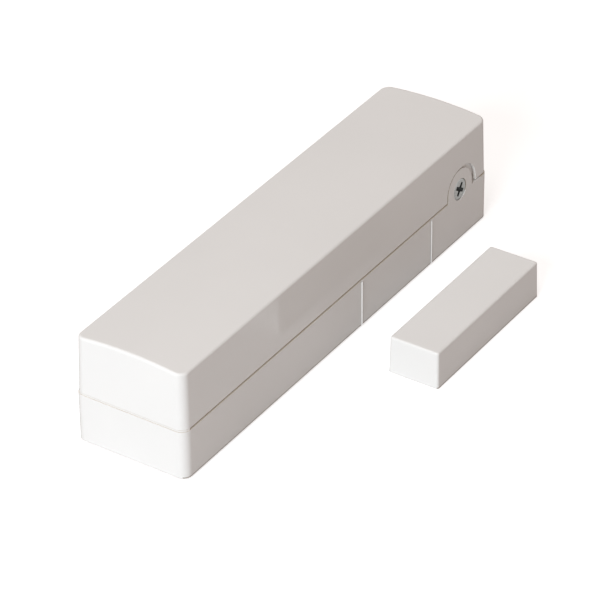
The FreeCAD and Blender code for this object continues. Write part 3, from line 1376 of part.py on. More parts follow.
def magnet_shell():
    """The outer box of the magnet half, open below, with ribs that hold the bar."""
    half_x, half_y = mm.magnet_length / 2, mm.magnet_width / 2
    outside = leaning_block("magnet_outside", half_x, half_y, 0, mm.magnet_height, mm.magnet_draft)
    outside = rounded("magnet_corners", outside, mm.magnet_corner, upright)
    outside = rounded("magnet_soft", outside, mm.magnet_round, above(mm.magnet_height - CLOSE))
    inner_x, inner_y = half_x - mm.magnet_wall, half_y - mm.magnet_wall
    ceiling = mm.magnet_height - mm.magnet_wall
    room = leaning_block("magnet_room", inner_x, inner_y, 0, ceiling, mm.magnet_draft)
    shell = cut("magnet_hollow", outside, room)
    bar_x = mm.bar_length / 2 + mm.bar_play
    rib_z = (mm.plate_thick + mm.bar_rib, ceiling + mm.bar_rib / 2)
    ribs = []
    for side in SIDES:
        ends = (bar_x, bar_x + mm.bar_rib) if side > 0 else (-bar_x - mm.bar_rib, -bar_x)
        ribs.append(box("magnet_rib", ends, (-inner_y, inner_y), rib_z))
    joined = fuse("magnet_joined", shell, *ribs)
    return piece("magnet_shell", moved_to_magnet("magnet_shell", joined))


def moved_to_magnet(name, thing):
    """Carries a piece made at the origin to the magnet block's place."""
    away = DOC.addObject("Part::Compound", name)
    away.Links = [thing]
    return place(away, mm.magnet_x, MAGNET_Y, 0)


def magnet_plate():
    """The screwed-down back plate that the shell snaps over."""
    plate = box("plate_blank", (-PLATE_X, PLATE_X), (-PLATE_Y, PLATE_Y), (0, mm.plate_thick))
    tools = []
    for side in SIDES:
        x = mm.plate_spacing / 2 * side
        cone_rise = mm.plate_sink - mm.plate_hole
        tools.append(cylinder("plate_bore", "z", (x, 0, -BEYOND), mm.plate_hole, mm.plate_thick + BEYOND * 2))
        start = (x, 0, mm.plate_thick - cone_rise)
        tools.append(cone("plate_cone", "z", start, mm.plate_hole, mm.plate_sink, cone_rise))
    return piece("magnet_plate", moved_to_magnet("magnet_plate", cut("plate_drilled", plate, *tools)))


def bar_magnet():
    """The magnet, which stands on the back plate between the shell's ribs."""
    low = mm.plate_thick
    half_x, half_y = mm.bar_length / 2, mm.bar_width / 2
    bar = box("bar_blank", (-half_x, half_x), (-half_y, half_y), (low, low + mm.bar_height))
    bar = rounded("bar_soft", bar, mm.bar_round, lambda edge: True)
    return piece("bar_magnet", moved_to_magnet("bar_magnet", bar))


def check_and_write():
    """Stops on any failed feature or bad shape, then writes one file for each piece."""
    DOC.recompute()
    for thing in DOC.Objects:
        if {"Invalid", "Error"} & set(thing.State):
            raise RuntimeError(f"{thing.Name} failed: {thing.State}")
    for node, thing in PIECES:
        if thing.Shape.isNull() or not thing.Shape.isValid() or not thing.Shape.Solids:
            raise RuntimeError(f"{node} has no valid solid")
    os.makedirs("parts", exist_ok=True)
    for node, thing in PIECES:
        thing.Shape.exportStep(f"parts/{node}.step")
        print(f"{node}: {len(thing.Shape.Solids)} solid(s), {thing.Shape.Volume:.1f} mm3")


base()
cover()
cover_screw()
circuit_board()
board_screws()
battery_holder()
battery_cell()
battery_contacts()
reed_switch()
controller_chip()
crystal_can()
radio_shield()
antenna_wire()
link_header()
terminal_block()
status_led()
storage_capacitor()
ceramic_capacitors()
tamper_spring()
magnet_shell()
magnet_plate()
bar_magnet()
check_and_write()
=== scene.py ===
import math

import bpy
from mathutils import Matrix, Vector


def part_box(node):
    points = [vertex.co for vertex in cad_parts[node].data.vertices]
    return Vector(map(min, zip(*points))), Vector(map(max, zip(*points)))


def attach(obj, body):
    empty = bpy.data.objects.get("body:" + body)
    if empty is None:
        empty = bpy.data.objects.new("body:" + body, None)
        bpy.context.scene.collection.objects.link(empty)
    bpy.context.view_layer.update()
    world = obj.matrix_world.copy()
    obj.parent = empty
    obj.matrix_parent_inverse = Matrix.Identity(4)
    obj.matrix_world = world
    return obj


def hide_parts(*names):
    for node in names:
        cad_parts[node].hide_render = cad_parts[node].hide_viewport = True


# The dressed door and window sensor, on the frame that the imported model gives. Lengths are in metres.

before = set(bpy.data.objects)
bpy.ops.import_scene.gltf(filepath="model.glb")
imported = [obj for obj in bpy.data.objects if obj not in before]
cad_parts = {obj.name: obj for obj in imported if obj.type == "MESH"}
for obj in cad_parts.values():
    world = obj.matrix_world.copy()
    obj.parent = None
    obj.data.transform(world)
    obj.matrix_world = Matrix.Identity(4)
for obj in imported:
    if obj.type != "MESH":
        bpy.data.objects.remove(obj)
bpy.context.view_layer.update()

# The photograph's camera: where it stands, what it aims at and how long its lens is
PHOTO_AZIMUTH = -56.315
PHOTO_ELEVATION = 34.154
PHOTO_ROLL = -0.627
PHOTO_DISTANCE = 0.81912
PHOTO_LENS = 211.3
AIM_RIGHT = 0.00203
AIM_UP = 0.00489

# Lamps, world and floor
LAMP_AIM = (0.0, 0.0, 0.01)
LAMP_SIZE = (0.6, 0.6)
KEY_PLACE = (-1.12, -0.16, 0.48)
KEY_POWER = 12.5
KEY_TINT = (0.87, 0.95, 1.0)
OVERHEAD_PLACE = (-0.20, 0.10, 0.9)
OVERHEAD_POWER = 2.3
OVERHEAD_TINT = (0.92, 0.98, 1.0)
WORLD_STRENGTH = 0.36
WORLD_TINT = (1.0, 0.80, 0.69)
FLOOR_HALF = 3.0
FLOOR_DROP = 0.00005
FLOOR_PALE = (0.62, 0.61, 0.61)

# The floor's glow: near the object, far off, in mirrored rays, and dimmed in the line of contact as a painted
# contact shadow
FLOOR_GLOW = 0.66
FAR_GLOW = 0.90
GLOW_START = 0.35
GLOW_STOP = 1.0
MIRRORED_GLOW = 0.12
CONTACT_REACH = 0.0005
CONTACT_SHADOW_GLOW = 0.8
FLOOR_CLEAR = 0.0004

# Colours of the plastics, with painted shade in the seam, a painted shadow at the foot, painted shade on the
# tongue's edges and painted light on the notch's wall
WHITE_PLASTIC = (0.80, 0.785, 0.77)
SEAM_PAINTED_SHADE = (0.72, 0.66, 0.58)
FOOT_PAINTED_SHADOW = (0.44, 0.41, 0.37)
TONGUE_PAINTED_SHADE = (0.50, 0.45, 0.38)
NOTCH_PAINTED_LIGHT = (0.94, 0.94, 0.93)
BLACK_PLASTIC = (0.045, 0.045, 0.05)
BLUE_PLASTIC = (0.06, 0.17, 0.46)
GREEN_PLASTIC = (0.08, 0.34, 0.14)

# Colours of the metals
NICKEL = (0.56, 0.58, 0.57)
TIN = (0.66, 0.66, 0.64)
ZINC = (0.64, 0.63, 0.60)
GILT = (0.80, 0.62, 0.26)
BRASS = (0.72, 0.63, 0.42)
BRONZE = (0.72, 0.52, 0.27)
COPPER = (0.50, 0.22, 0.10)
ALUMINIUM = (0.74, 0.74, 0.75)

# Levels and faces of the housing
BASE_RIM = 0.0126
COVER_FOOT = 0.0130
SIDE_FACE = -0.0148
CORNER_RADIUS = 0.0023

# Zones of the white plastic: the height of the painted shadow at the foot, the seam's painted shade, the
# grained back, and the tongue's and notch's edges with their painted shade and painted light
HOUSING_SHADOW_HEIGHT = 0.00050
SHELL_SHADOW_HEIGHT = 0.00032
SEAM_SKIN = 0.00004
BACK_SKIN = 0.0003
GAP_MIDDLE_X = 0.0530
GAP_HALF = 0.0073
TONGUE_X = 0.0510
TONGUE_HALF = 0.0056
NOTCH_WALL_X = 0.0565
NOTCH_WALL_HALF = 0.0025
EDGE_TOP = 0.0200
EDGE_FRONT = -0.01475
EDGE_BACK = -0.0125

# Rings of the ejector pins on the back faces
EJECTOR_RADIUS = 0.0016
EJECTOR_LINE = 0.00012
EJECTOR_DEEP = 0.00008
BASE_EJECTOR_INSET = 0.009
PLATE_EJECTOR_INSET = 0.004

# Marks on the parts inside
PAD_RADIUS = 0.00095
BAND_INSET = 0.0055
BAND_HALF = 0.0016
FOLD_START = 0.0145
FOLD_STOP = 0.0170
CHIP_LEAD_REACH = 0.00098
CAN_TOP_SKIN = 0.0004

# The cover screw
HEAD_RADIUS = 0.00265
HEAD_LAND = 0.00025
HEAD_CONE = 0.0012
HEAD_LIFT = 0.00010
HEAD_DOME = 0.000096
EDGE_ROUND = 0.00020
SHANK_RADIUS = 0.00145
CORE_RADIUS = 0.00108
THREAD_PITCH = 0.00095
STEPS_PER_PITCH = 10
TIP_TAPER = 0.00174
TIP_SHARE = 0.2
CROSS_TURN = math.radians(-32.0)
WING_REACH = 0.00180
WING_HALF = 0.00048
CROSS_WAIST = 0.00085
RECESS_DEEP = 0.0017
RECESS_STEPS = ((1.0, 0.18), (0.8, 0.42), (0.45, 0.72), (0.10, 0.95), (0.0, 1.0))
AROUND = 96
ANGLES = [2 * math.pi * number / AROUND for number in range(AROUND)]

# The flange that closes the seam at the hooked end
FLANGE_BACK = 0.00012
FLANGE_DEEP = 0.0016
FLANGE_PLAY = 0.00003
FLANGE_STEPS = 12

# The beads along the score lines: place along the housing, and height over its side
BEADS = ((0.0072, 0.00033), (0.0379, 0.00025))
BEAD_SINK = 0.00001
BEAD_FOOT = 0.0003
BEAD_TOP = 0.0123


class Look:
    """A procedural material, built up from nodes round one principled shader."""

    def __init__(self, name, **constants):
        self.material = bpy.data.materials.new(name)
        self.material.use_nodes = True
        self.tree = self.material.node_tree
        self.shader = self.tree.nodes["Principled BSDF"]
        self.place = self.add("ShaderNodeTexCoord").outputs["Object"]
        for socket, value in constants.items():
            self.shader.inputs[socket.replace("_", " ")].default_value = value

    def add(self, kind, **settings):
        """A new node with its settings."""
        node = self.tree.nodes.new(kind)
        for key, value in settings.items():
            setattr(node, key, value)
        return node

    def feed(self, socket, source):
        """Gives a socket a number, a colour or another node's output."""
        if isinstance(source, bpy.types.NodeSocket):
            self.tree.links.new(source, socket)
        elif isinstance(source, tuple) and len(source) == 3 and socket.type == "RGBA":
            socket.default_value = (*source, 1.0)
        else:
            socket.default_value = source

    def axes(self, source=None):
        """The x, y and z of a vector, of the place on the object unless another is given."""
        node = self.add("ShaderNodeSeparateXYZ")
        self.feed(node.inputs[0], source or self.place)
        return tuple(node.outputs)

    def facing(self):
        """The x, y and z of the surface's own direction."""
        return self.axes(self.add("ShaderNodeNewGeometry").outputs["Normal"])

    def noise(self, scale, detail=2.0, rough=0.5, place=None):
        node = self.add("ShaderNodeTexNoise")
        self.feed(node.inputs["Vector"], place or self.place)
        self.feed(node.inputs["Scale"], scale)
        self.feed(node.inputs["Detail"], detail)
        self.feed(node.inputs["Roughness"], rough)
        return node.outputs["Fac"]

    def cells(self, scale, feature, metric="EUCLIDEAN"):
        node = self.add("ShaderNodeTexVoronoi", feature=feature, distance=metric)
        self.feed(node.inputs["Vector"], self.place)
        self.feed(node.inputs["Scale"], scale)
        return node.outputs["Distance"]

    def span(self, source, low, high, start=0.3, stop=0.7):
        """Maps start to stop of the source onto low to high."""
        node = self.add("ShaderNodeMapRange")
        self.feed(node.inputs["Value"], source)
        self.feed(node.inputs["From Min"], start)
        self.feed(node.inputs["From Max"], stop)
        self.feed(node.inputs["To Min"], low)
        self.feed(node.inputs["To Max"], high)
        return node.outputs["Result"]

    def math(self, operation, first, second=0.0, third=0.0):
        node = self.add("ShaderNodeMath", operation=operation)
        for socket, source in zip(node.inputs, (first, second, third)):
            self.feed(socket, source)
        return node.outputs["Value"]

    def apart(self, source, middle):
        """How far a number lies from a middle value."""
        return self.math("ABSOLUTE", self.math("SUBTRACT", source, middle))

    def reach(self, centre, weights):
        """The distance from a centre, with each axis counted by its weight."""
        flat = self.add("ShaderNodeVectorMath", operation="MULTIPLY")
        self.feed(flat.inputs[0], self.place)
        flat.inputs[1].default_value = weights
        node = self.add("ShaderNodeVectorMath", operation="DISTANCE")
        self.feed(node.inputs[0], flat.outputs["Vector"])
        node.inputs[1].default_value = [part * weight for part, weight in zip(centre, weights)]
        return node.outputs["Value"]

    def stretched(self, scale):
        """The place on the object, with each axis scaled for a drawn-out pattern."""
        node = self.add("ShaderNodeMapping")
        self.feed(node.inputs["Vector"], self.place)
        node.inputs["Scale"].default_value = scale
        return node.outputs["Vector"]

    def blend(self, factor, first, second):
        """A colour that goes from the first to the second as the factor goes from 0 to 1."""
        node = self.add("ShaderNodeMix", data_type="RGBA")
        self.feed(node.inputs["Factor"], factor)
        self.feed(node.inputs[6], first)
        self.feed(node.inputs[7], second)
        return node.outputs[2]

    def between(self, factor, first, second):
        """A number that goes from the first to the second as the factor goes from 0 to 1."""
        node = self.add("ShaderNodeMix", data_type="FLOAT")
        self.feed(node.inputs["Factor"], factor)
        self.feed(node.inputs[2], first)
        self.feed(node.inputs[3], second)
        return node.outputs[0]

    def bump(self, height, distance, strength=1.0, under=None):
        node = self.add("ShaderNodeBump")
        self.feed(node.inputs["Height"], height)
        self.feed(node.inputs["Distance"], distance)
        self.feed(node.inputs["Strength"], strength)
        if under is not None:
            self.feed(node.inputs["Normal"], under)
        return node.outputs["Normal"]

    def color(self, source):
        self.feed(self.shader.inputs["Base Color"], source)

    def rough(self, source):
        self.feed(self.shader.inputs["Roughness"], source)

    def metallic(self, source):
        self.feed(self.shader.inputs["Metallic"], source)

    def normal(self, source):
        self.feed(self.shader.inputs["Normal"], source)


def paint(look, *names):
    """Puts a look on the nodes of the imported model."""
    for name in names:
        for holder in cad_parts[name].material_slots:
            holder.material = look.material


def tinted(color, factor):
    return tuple(part * factor for part in color)


def middle_of(name):
    low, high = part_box(name)
    return (low + high) / 2


def size_of(name):
    low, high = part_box(name)
    return high - low


# Plastics

def clouded(look, color):
    """The plastic's colour, with a faint cloud in it."""
    cloud = look.noise(35.0, 3.0)
    return look.blend(look.span(cloud, 0.0, 1.0), tinted(color, 0.985), tinted(color, 1.01))


def wavy(look):
    """The slow waviness of a moulded wall."""
    return look.bump(look.noise(22.0, 0.0), 0.0001, 0.5)


def painted_foot_shadow(look, reach):
    """The narrow line at the foot of the long sides, where the plastic meets what it lies on: the mask of a
    painted contact shadow.
    """
    low = look.math("LESS_THAN", look.axes()[2], reach)
    sideways = look.math("ABSOLUTE", look.facing()[1])
    return look.math("MULTIPLY", low, look.math("GREATER_THAN", sideways, 0.5))


def seam_shade_faces(look, seam):
    """The faces that look at each other across the seam, but for the gap of the notch: the mask of the
    painted shade in the seam.
    """
    x, _, height = look.axes()
    on_seam = look.math("COMPARE", height, seam, SEAM_SKIN)
    beside_gap = look.math("GREATER_THAN", look.apart(x, GAP_MIDDLE_X), GAP_HALF)
    return look.math("MULTIPLY", on_seam, beside_gap)


def painted_edge_mask(look, middle, half):
    """The edges round the screw's tongue or the notch, within a distance along the housing: the mask of the
    tongue's painted shade and of the notch's painted light.
    """
    x, y, height = look.axes()
    sideways = look.math("ABSOLUTE", look.facing()[1])
    edge = look.math("LESS_THAN", look.apart(x, middle), half)
    for operation, source, limit in (
        ("GREATER_THAN", height, BASE_RIM),
        ("LESS_THAN", height, EDGE_TOP),
        ("LESS_THAN", y, EDGE_BACK),
        ("GREATER_THAN", y, EDGE_FRONT),
        ("LESS_THAN", sideways, 0.5),
    ):
        edge = look.math("MULTIPLY", edge, look.math(operation, source, limit))
    return edge


def moulded_plastic(name, color, rough, grain, foot=0.0):
    """Injection moulded plastic: a faint cloud in the colour, spark-eroded grain and a slow waviness, with a
    painted shadow at the foot where a foot height is given.
    """
    look = Look(name, IOR=1.5)
    body = clouded(look, color)
    if foot:
        # Painted shadow: a dark line along the foot of the long sides
        body = look.blend(painted_foot_shadow(look, foot), body, FOOT_PAINTED_SHADOW)
    look.color(body)
    look.rough(look.span(look.noise(90.0, 2.0), rough * 0.8, rough * 1.2))
    look.normal(look.bump(look.noise(4200.0, 2.0), grain, 0.2, wavy(look)))
    return look


def seamed_plastic(name, seam, edge, ejectors=()):
    """The white plastic of the housing, with a painted shadow at its foot, darker and warmer in the seam as
    painted shade, and with a grained back face.

    The edge gives the middle and half length of the tongue's or notch's edge, and its painted colour: painted
    shade on the tongue's edges, painted light on the notch's wall.
    """
    look = Look(name, IOR=1.5)
    pale = clouded(look, WHITE_PLASTIC)
    # Painted shadow: a dark line along the foot of the long sides
    pale = look.blend(painted_foot_shadow(look, HOUSING_SHADOW_HEIGHT), pale, FOOT_PAINTED_SHADOW)
    # Painted shade: the faces in the seam are coloured darker and warmer, for the shade in its gap
    pale = look.blend(seam_shade_faces(look, seam), pale, SEAM_PAINTED_SHADE)
    middle, half, painted_tone = edge
    # Painted shade on the tongue's edges, painted light on the notch's wall
    look.color(look.blend(painted_edge_mask(look, middle, half), pale, painted_tone))
    back = look.math("LESS_THAN", look.axes()[2], BACK_SKIN)
    shine = look.span(look.noise(90.0, 2.0), 0.020, 0.040)
    grained = look.span(look.noise(900.0, 3.0), 0.42, 0.58)
    look.rough(look.between(back, shine, grained))
    texture = look.math("MULTIPLY", back, look.noise(2600.0, 3.0))
    grain = look.bump(texture, 0.00004, 0.6, wavy(look))
    rings = look.math("MULTIPLY", ejector_rings(look, ejectors), back)
    look.normal(look.bump(rings, -EJECTOR_DEEP, 1.0, grain))
    return look


def ejector_rings(look, ejectors):
    """One fine ring round each ejector pin."""
    rings = 0.0
    for x, y in ejectors:
        away = look.reach((x, y, 0.0), (1.0, 1.0, 0.0))
        rings = look.math("ADD", rings, look.math("COMPARE", away, EJECTOR_RADIUS, EJECTOR_LINE))
    return rings


def ejector_places(name, across):
    """Four ejector pins near the corners of a moulding."""
    low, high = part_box(name)
    return [
        (x, y)
        for x in (low.x + across, high.x - across)
        for y in (low.y + across * 0.55, high.y - across * 0.55)
    ]


# Metals and glass

def metal(name, color, rough, grain=(900.0, 90.0, 90.0), **constants):
    """A metal with fine drawn lines, which lie across the axis of the highest grain number."""
    look = Look(name, Metallic=1.0, **constants)
    lines = look.noise(6.0, 4.0, 0.6, look.stretched(grain))
    look.color(look.blend(look.span(lines, 0.0, 1.0), tinted(color, 0.90), color))
    look.rough(look.span(lines, rough * 0.8, rough * 1.2))
    look.normal(look.bump(lines, 0.00001, 0.4))
    return look


def enamelled_copper():
    """Copper wire under a clear coat."""
    grain = (200.0, 200.0, 200.0)
    return metal("enamelled_copper", COPPER, 0.22, grain, Coat_Weight=0.8, Coat_Roughness=0.1)


def green_glass():
    """The slightly uneven glass of the reed switch."""
    look = Look("reed_glass", Transmission_Weight=1.0, IOR=1.5)
    look.color(look.blend(look.noise(400.0), (0.62, 0.82, 0.70), (0.70, 0.88, 0.77)))
    look.rough(look.span(look.noise(600.0), 0.01, 0.05))
    look.normal(look.bump(look.noise(300.0, 1.0), 0.00002, 0.3))
    return look


def red_resin():
    """The half-clear resin of the indicator lamp."""
    look = Look("lamp_resin", Transmission_Weight=0.55, IOR=1.52)
    look.color(look.blend(look.noise(500.0), (0.62, 0.04, 0.03), (0.72, 0.07, 0.05)))
    look.rough(look.span(look.noise(700.0), 0.12, 0.22))
    look.normal(look.bump(look.noise(1500.0), 0.00001, 0.3))
    return look


def sintered_ferrite():
    """Ground ferrite: dark grains, small pits and the lines of the grinding wheel."""
    look = Look("sintered_ferrite", IOR=1.8)
    grains = look.noise(1500.0, 4.0, 0.6)
    look.color(look.blend(look.span(grains, 0.0, 1.0), (0.045, 0.045, 0.050), (0.095, 0.095, 0.100)))
    look.rough(look.span(grains, 0.45, 0.70))
    ground = look.noise(6.0, 3.0, 0.6, look.stretched((80.0, 900.0, 80.0)))
    pits = look.bump(look.cells(1100.0, "F1"), 0.00006, 0.4)
    look.normal(look.bump(ground, 0.00002, 0.6, pits))
    return look


def recess_shade():
    """The recess of the screw, coloured dark as painted shade deep in the cross recess."""
    look = Look("screw_recess_shade", Metallic=0.7)
    look.color(look.blend(look.noise(2500.0, 3.0), (0.035, 0.037, 0.036), (0.075, 0.078, 0.076)))
    look.rough(look.span(look.noise(2500.0), 0.45, 0.65))
    look.normal(look.bump(look.noise(4000.0), 0.00002, 0.5))
    return look


# Parts with more than one finish

def lead_places():
    """Where leads go through the board: three in the header, two each in the lamp and the terminal."""
    places = []
    for name, count in (("header_pins", 3), ("terminal_cages", 2), ("status_led", 2)):
        low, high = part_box(name)
        pitch = (high.x - low.x) / count
        places += [(low.x + pitch * (number + 0.5), (low.y + high.y) / 2) for number in range(count)]
    return places


def tinned_pads(look):
    """The round pads of tin about the leads."""
    tinned = 0.0
    for x, y in lead_places():
        away = look.reach((x, y, 0.0), (1.0, 1.0, 0.0))
        tinned = look.math("MAXIMUM", tinned, look.math("LESS_THAN", away, PAD_RADIUS))
    return tinned


def printed_board():
    """Green lacquer over copper tracks, with bare laminate on the cut edges and tin round the leads."""
    look = Look("printed_board", IOR=1.5)
    near = look.cells(300.0, "F1", "MANHATTAN")
    next_near = look.cells(300.0, "F2", "MANHATTAN")
    tracks = look.math("LESS_THAN", look.math("SUBTRACT", next_near, near), 0.14)
    planes = look.math("GREATER_THAN", look.noise(70.0, 0.0), 0.56)
    copper = look.math("MAXIMUM", tracks, planes)
    lacquer = look.blend(copper, (0.020, 0.150, 0.070), (0.045, 0.270, 0.120))
    edge = look.math("LESS_THAN", look.math("ABSOLUTE", look.facing()[2]), 0.5)
    fibre = look.noise(8.0, 4.0, 0.6, look.stretched((120.0, 120.0, 1500.0)))
    laminate = look.blend(fibre, (0.50, 0.45, 0.24), (0.66, 0.61, 0.38))
    tinned = look.math("MULTIPLY", tinned_pads(look), look.math("SUBTRACT", 1.0, edge))
    look.color(look.blend(tinned, look.blend(edge, lacquer, laminate), TIN))
    look.metallic(tinned)
    gloss = look.span(look.noise(500.0), 0.18, 0.30)
    look.rough(look.between(edge, gloss, 0.75))
    look.normal(look.bump(look.math("MAXIMUM", copper, tinned), 0.00004, 0.8))
    return look


def sleeved_cell():
    """The cell: a shrunk sleeve with a pale band, nickel at both ends, wrinkles where the sleeve turns in."""
    low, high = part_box("battery_cell")
    axis = (low + high) / 2
    radius = (high.y - low.y) / 2
    look = Look("cell_sleeve", IOR=1.5)
    x = look.axes()[0]
    away = look.reach(axis, (0.0, 1.0, 1.0))
    bare = look.math("LESS_THAN", away, radius * 0.82)
    band = look.math("COMPARE", x, high.x - BAND_INSET, BAND_HALF)
    sleeve = look.blend(band, (0.10, 0.15, 0.33), (0.62, 0.64, 0.68))
    look.color(look.blend(bare, sleeve, NICKEL))
    look.metallic(bare)
    look.rough(look.span(look.noise(250.0), 0.22, 0.34))
    near_end = look.span(look.apart(x, axis.x), 0.0, 1.0, FOLD_START, FOLD_STOP)
    folds = look.noise(5.0, 2.0, 0.5, look.stretched((30.0, 260.0, 260.0)))
    look.normal(look.bump(look.math("MULTIPLY", folds, near_end), 0.0002, 0.8))
    return look


def packaged_chip():
    """Black resin with a fine texture, and tinned leads outside the resin."""
    centre = middle_of("controller_chip")
    body = size_of("controller_chip").x / 2 - CHIP_LEAD_REACH
    look = Look("packaged_chip", IOR=1.5)
    x, y, _ = look.axes()
    out = look.math("MAXIMUM", look.apart(x, centre.x), look.apart(y, centre.y))
    lead = look.math("GREATER_THAN", out, body)
    look.color(look.blend(lead, (0.035, 0.035, 0.038), TIN))
    look.metallic(lead)
    look.rough(look.between(lead, look.span(look.noise(900.0), 0.42, 0.58), 0.28))
    look.normal(look.bump(look.noise(3500.0, 2.0), 0.00002, 0.5))
    return look


def chip_capacitors():
    """Fired ceramic with a tinned cap on each end."""
    centre = middle_of("ceramic_capacitors")
    fired_half = size_of("ceramic_capacitors").y * 0.29
    look = Look("chip_capacitors", IOR=1.5)
    capped = look.math("GREATER_THAN", look.apart(look.axes()[1], centre.y), fired_half)
    fired = look.blend(look.noise(900.0, 3.0), (0.54, 0.42, 0.29), (0.66, 0.54, 0.40))
    look.color(look.blend(capped, fired, TIN))
    look.metallic(capped)
    look.rough(look.span(look.noise(1200.0), 0.30, 0.50))
    look.normal(look.bump(look.noise(2500.0, 2.0), 0.00002, 0.5))
    return look


def drawn_can():
    """An aluminium can with lines round it and a dark printed mark over the lead of lower voltage."""
    low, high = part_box("storage_capacitor")
    mark_from = (low.y + high.y) / 2 + (high.y - low.y) * 0.2
    look = Look("drawn_can")
    _, y, z = look.axes()
    on_top = look.math("GREATER_THAN", z, high.z - CAN_TOP_SKIN)
    mark = look.math("MULTIPLY", on_top, look.math("GREATER_THAN", y, mark_from))
    lines = look.noise(6.0, 4.0, 0.6, look.stretched((60.0, 60.0, 1200.0)))
    can = look.blend(look.span(lines, 0.0, 1.0), tinted(ALUMINIUM, 0.90), ALUMINIUM)
    look.color(look.blend(mark, can, (0.02, 0.02, 0.022)))
    look.metallic(look.math("SUBTRACT", 1.0, mark))
    look.rough(look.span(lines, 0.24, 0.36))
    look.normal(look.bump(lines, 0.00001, 0.5))
    return look


def dress_housing():
    """The white plastic of the housing and of the magnet block."""
    # Painted shade on the edges round the screw's tongue
    tongue_shade = (TONGUE_X, TONGUE_HALF, TONGUE_PAINTED_SHADE)
    # Painted light on the notch's wall, which faces the hooked end
    notch_light = (NOTCH_WALL_X, NOTCH_WALL_HALF, NOTCH_PAINTED_LIGHT)
    base_pins = ejector_places("base", BASE_EJECTOR_INSET)
    plate_pins = ejector_places("magnet_plate", PLATE_EJECTOR_INSET)
    paint(seamed_plastic("cover_plastic", COVER_FOOT, notch_light), "cover")
    paint(seamed_plastic("base_plastic", BASE_RIM, tongue_shade, base_pins), "base")
    paint(seamed_plastic("plate_plastic", BASE_RIM, tongue_shade, plate_pins), "magnet_plate")
    paint(moulded_plastic("shell_plastic", WHITE_PLASTIC, 0.06, 0.000003, SHELL_SHADOW_HEIGHT), "magnet_shell")


def dress_inside():
    """The parts on the board, the cell, the magnet and the screws."""
    black = moulded_plastic("black_moulding", BLACK_PLASTIC, 0.42, 0.00002)
    paint(black, "battery_holder", "header_body", "capacitor_foot")
    paint(moulded_plastic("blue_moulding", BLUE_PLASTIC, 0.35, 0.00001), "setting_link")
    paint(moulded_plastic("green_moulding", GREEN_PLASTIC, 0.38, 0.00001), "terminal_block")
    paint(metal("nickel_steel", NICKEL, 0.25), "battery_contact_minus", "battery_contact_plus", "cover_screw")
    paint(metal("tinned_iron", TIN, 0.28, (90.0, 900.0, 900.0)), "reed_blade_near", "reed_blade_far")
    paint(metal("drawn_crystal", NICKEL, 0.18, (90.0, 90.0, 700.0)), "crystal_can")
    paint(metal("tinned_sheet", TIN, 0.30, (60.0, 500.0, 60.0)), "radio_shield")
    paint(metal("bright_zinc", ZINC, 0.26, (500.0, 500.0, 60.0)), "board_screws", "terminal_screws")
    paint(metal("gilt", GILT, 0.20, (200.0, 200.0, 60.0)), "header_pins")
    paint(metal("plated_brass", BRASS, 0.28, (300.0, 60.0, 300.0)), "terminal_cages")
    paint(metal("spring_bronze", BRONZE, 0.26, (60.0, 700.0, 60.0)), "tamper_spring")
    paint(enamelled_copper(), "antenna_wire")
    paint(green_glass(), "reed_glass")
    paint(red_resin(), "status_led")
    paint(printed_board(), "circuit_board")
    paint(sleeved_cell(), "battery_cell")
    paint(packaged_chip(), "controller_chip")
    paint(chip_capacitors(), "ceramic_capacitors")
    paint(drawn_can(), "storage_capacitor")
    paint(sintered_ferrite(), "bar_magnet")


# Pieces that the scene adds

def new_piece(name, points, faces, *looks):
    """A mesh object in the scene, with one material for each look."""
    mesh = bpy.data.meshes.new(name)
    mesh.from_pydata(points, [], faces)
    mesh.validate()
    for look in looks:
        mesh.materials.append(look.material)
    piece = bpy.data.objects.new(name, mesh)
    bpy.context.scene.collection.objects.link(piece)
    return piece


def cross_edge(angle):
    """How far the edge of the cross recess lies from the middle, along an angle."""
    quarter = math.radians(90.0)
    off = abs((angle + quarter / 2) % quarter - quarter / 2)
    flank = WING_HALF / max(math.sin(off), 0.0001)
    tip = WING_REACH / math.cos(off)
    return min(tip, max(flank, CROSS_WAIST))


def head_rings(face):
    """The screw's head as rings: the recess from its bottom, the domed face and the rounded edge."""
    rings = []
    for deep, share in RECESS_STEPS:
        rings.append((face + RECESS_DEEP * deep, [cross_edge(angle) * share for angle in ANGLES]))
    flat = HEAD_RADIUS - EDGE_ROUND
    for step in (0.25, 0.5, 0.75):
        dome = HEAD_DOME * math.sin(step * math.pi)
        rings.append((face - dome, [cross_edge(angle) * (1 - step) + flat * step for angle in ANGLES]))
    for degrees in (0.0, 30.0, 60.0, 90.0):
        turn = math.radians(degrees)
        back = EDGE_ROUND * (1 - math.cos(turn))
        rings.append((face + back, [flat + EDGE_ROUND * math.sin(turn)] * AROUND))
    return rings


def thread_rings(start, tip):
    """Rings along the shank, each swollen where the thread's ridge crosses it, and drawn in at the tip."""
    steps = int((tip - start) / (THREAD_PITCH / STEPS_PER_PITCH))
    rings = []
    for number in range(1, steps + 1):
        along = (tip - start) * number / steps
        fade = min(1.0, along / THREAD_PITCH)
        taper = min(1.0, TIP_SHARE + (tip - start - along) / TIP_TAPER)
        core = SHANK_RADIUS + (CORE_RADIUS - SHANK_RADIUS) * fade
        radii = []
        for angle in ANGLES:
            phase = (along / THREAD_PITCH + angle / (2 * math.pi)) % 1.0
            ridge = max(0.0, 1.0 - abs(phase - 0.5) * 4.0)
            radii.append((core + (SHANK_RADIUS - core) * ridge) * taper)
        rings.append((start + along, radii))
    return rings


def screw_rings(low, tip):
    """The screw's outline from the bottom of the recess, over the head and down to the tip."""
    neck = low + HEAD_LAND
    shank = neck + HEAD_CONE
    cone = [(neck, [HEAD_RADIUS] * AROUND), (shank, [SHANK_RADIUS] * AROUND)]
    return head_rings(low - HEAD_LIFT) + cone + thread_rings(shank, tip)


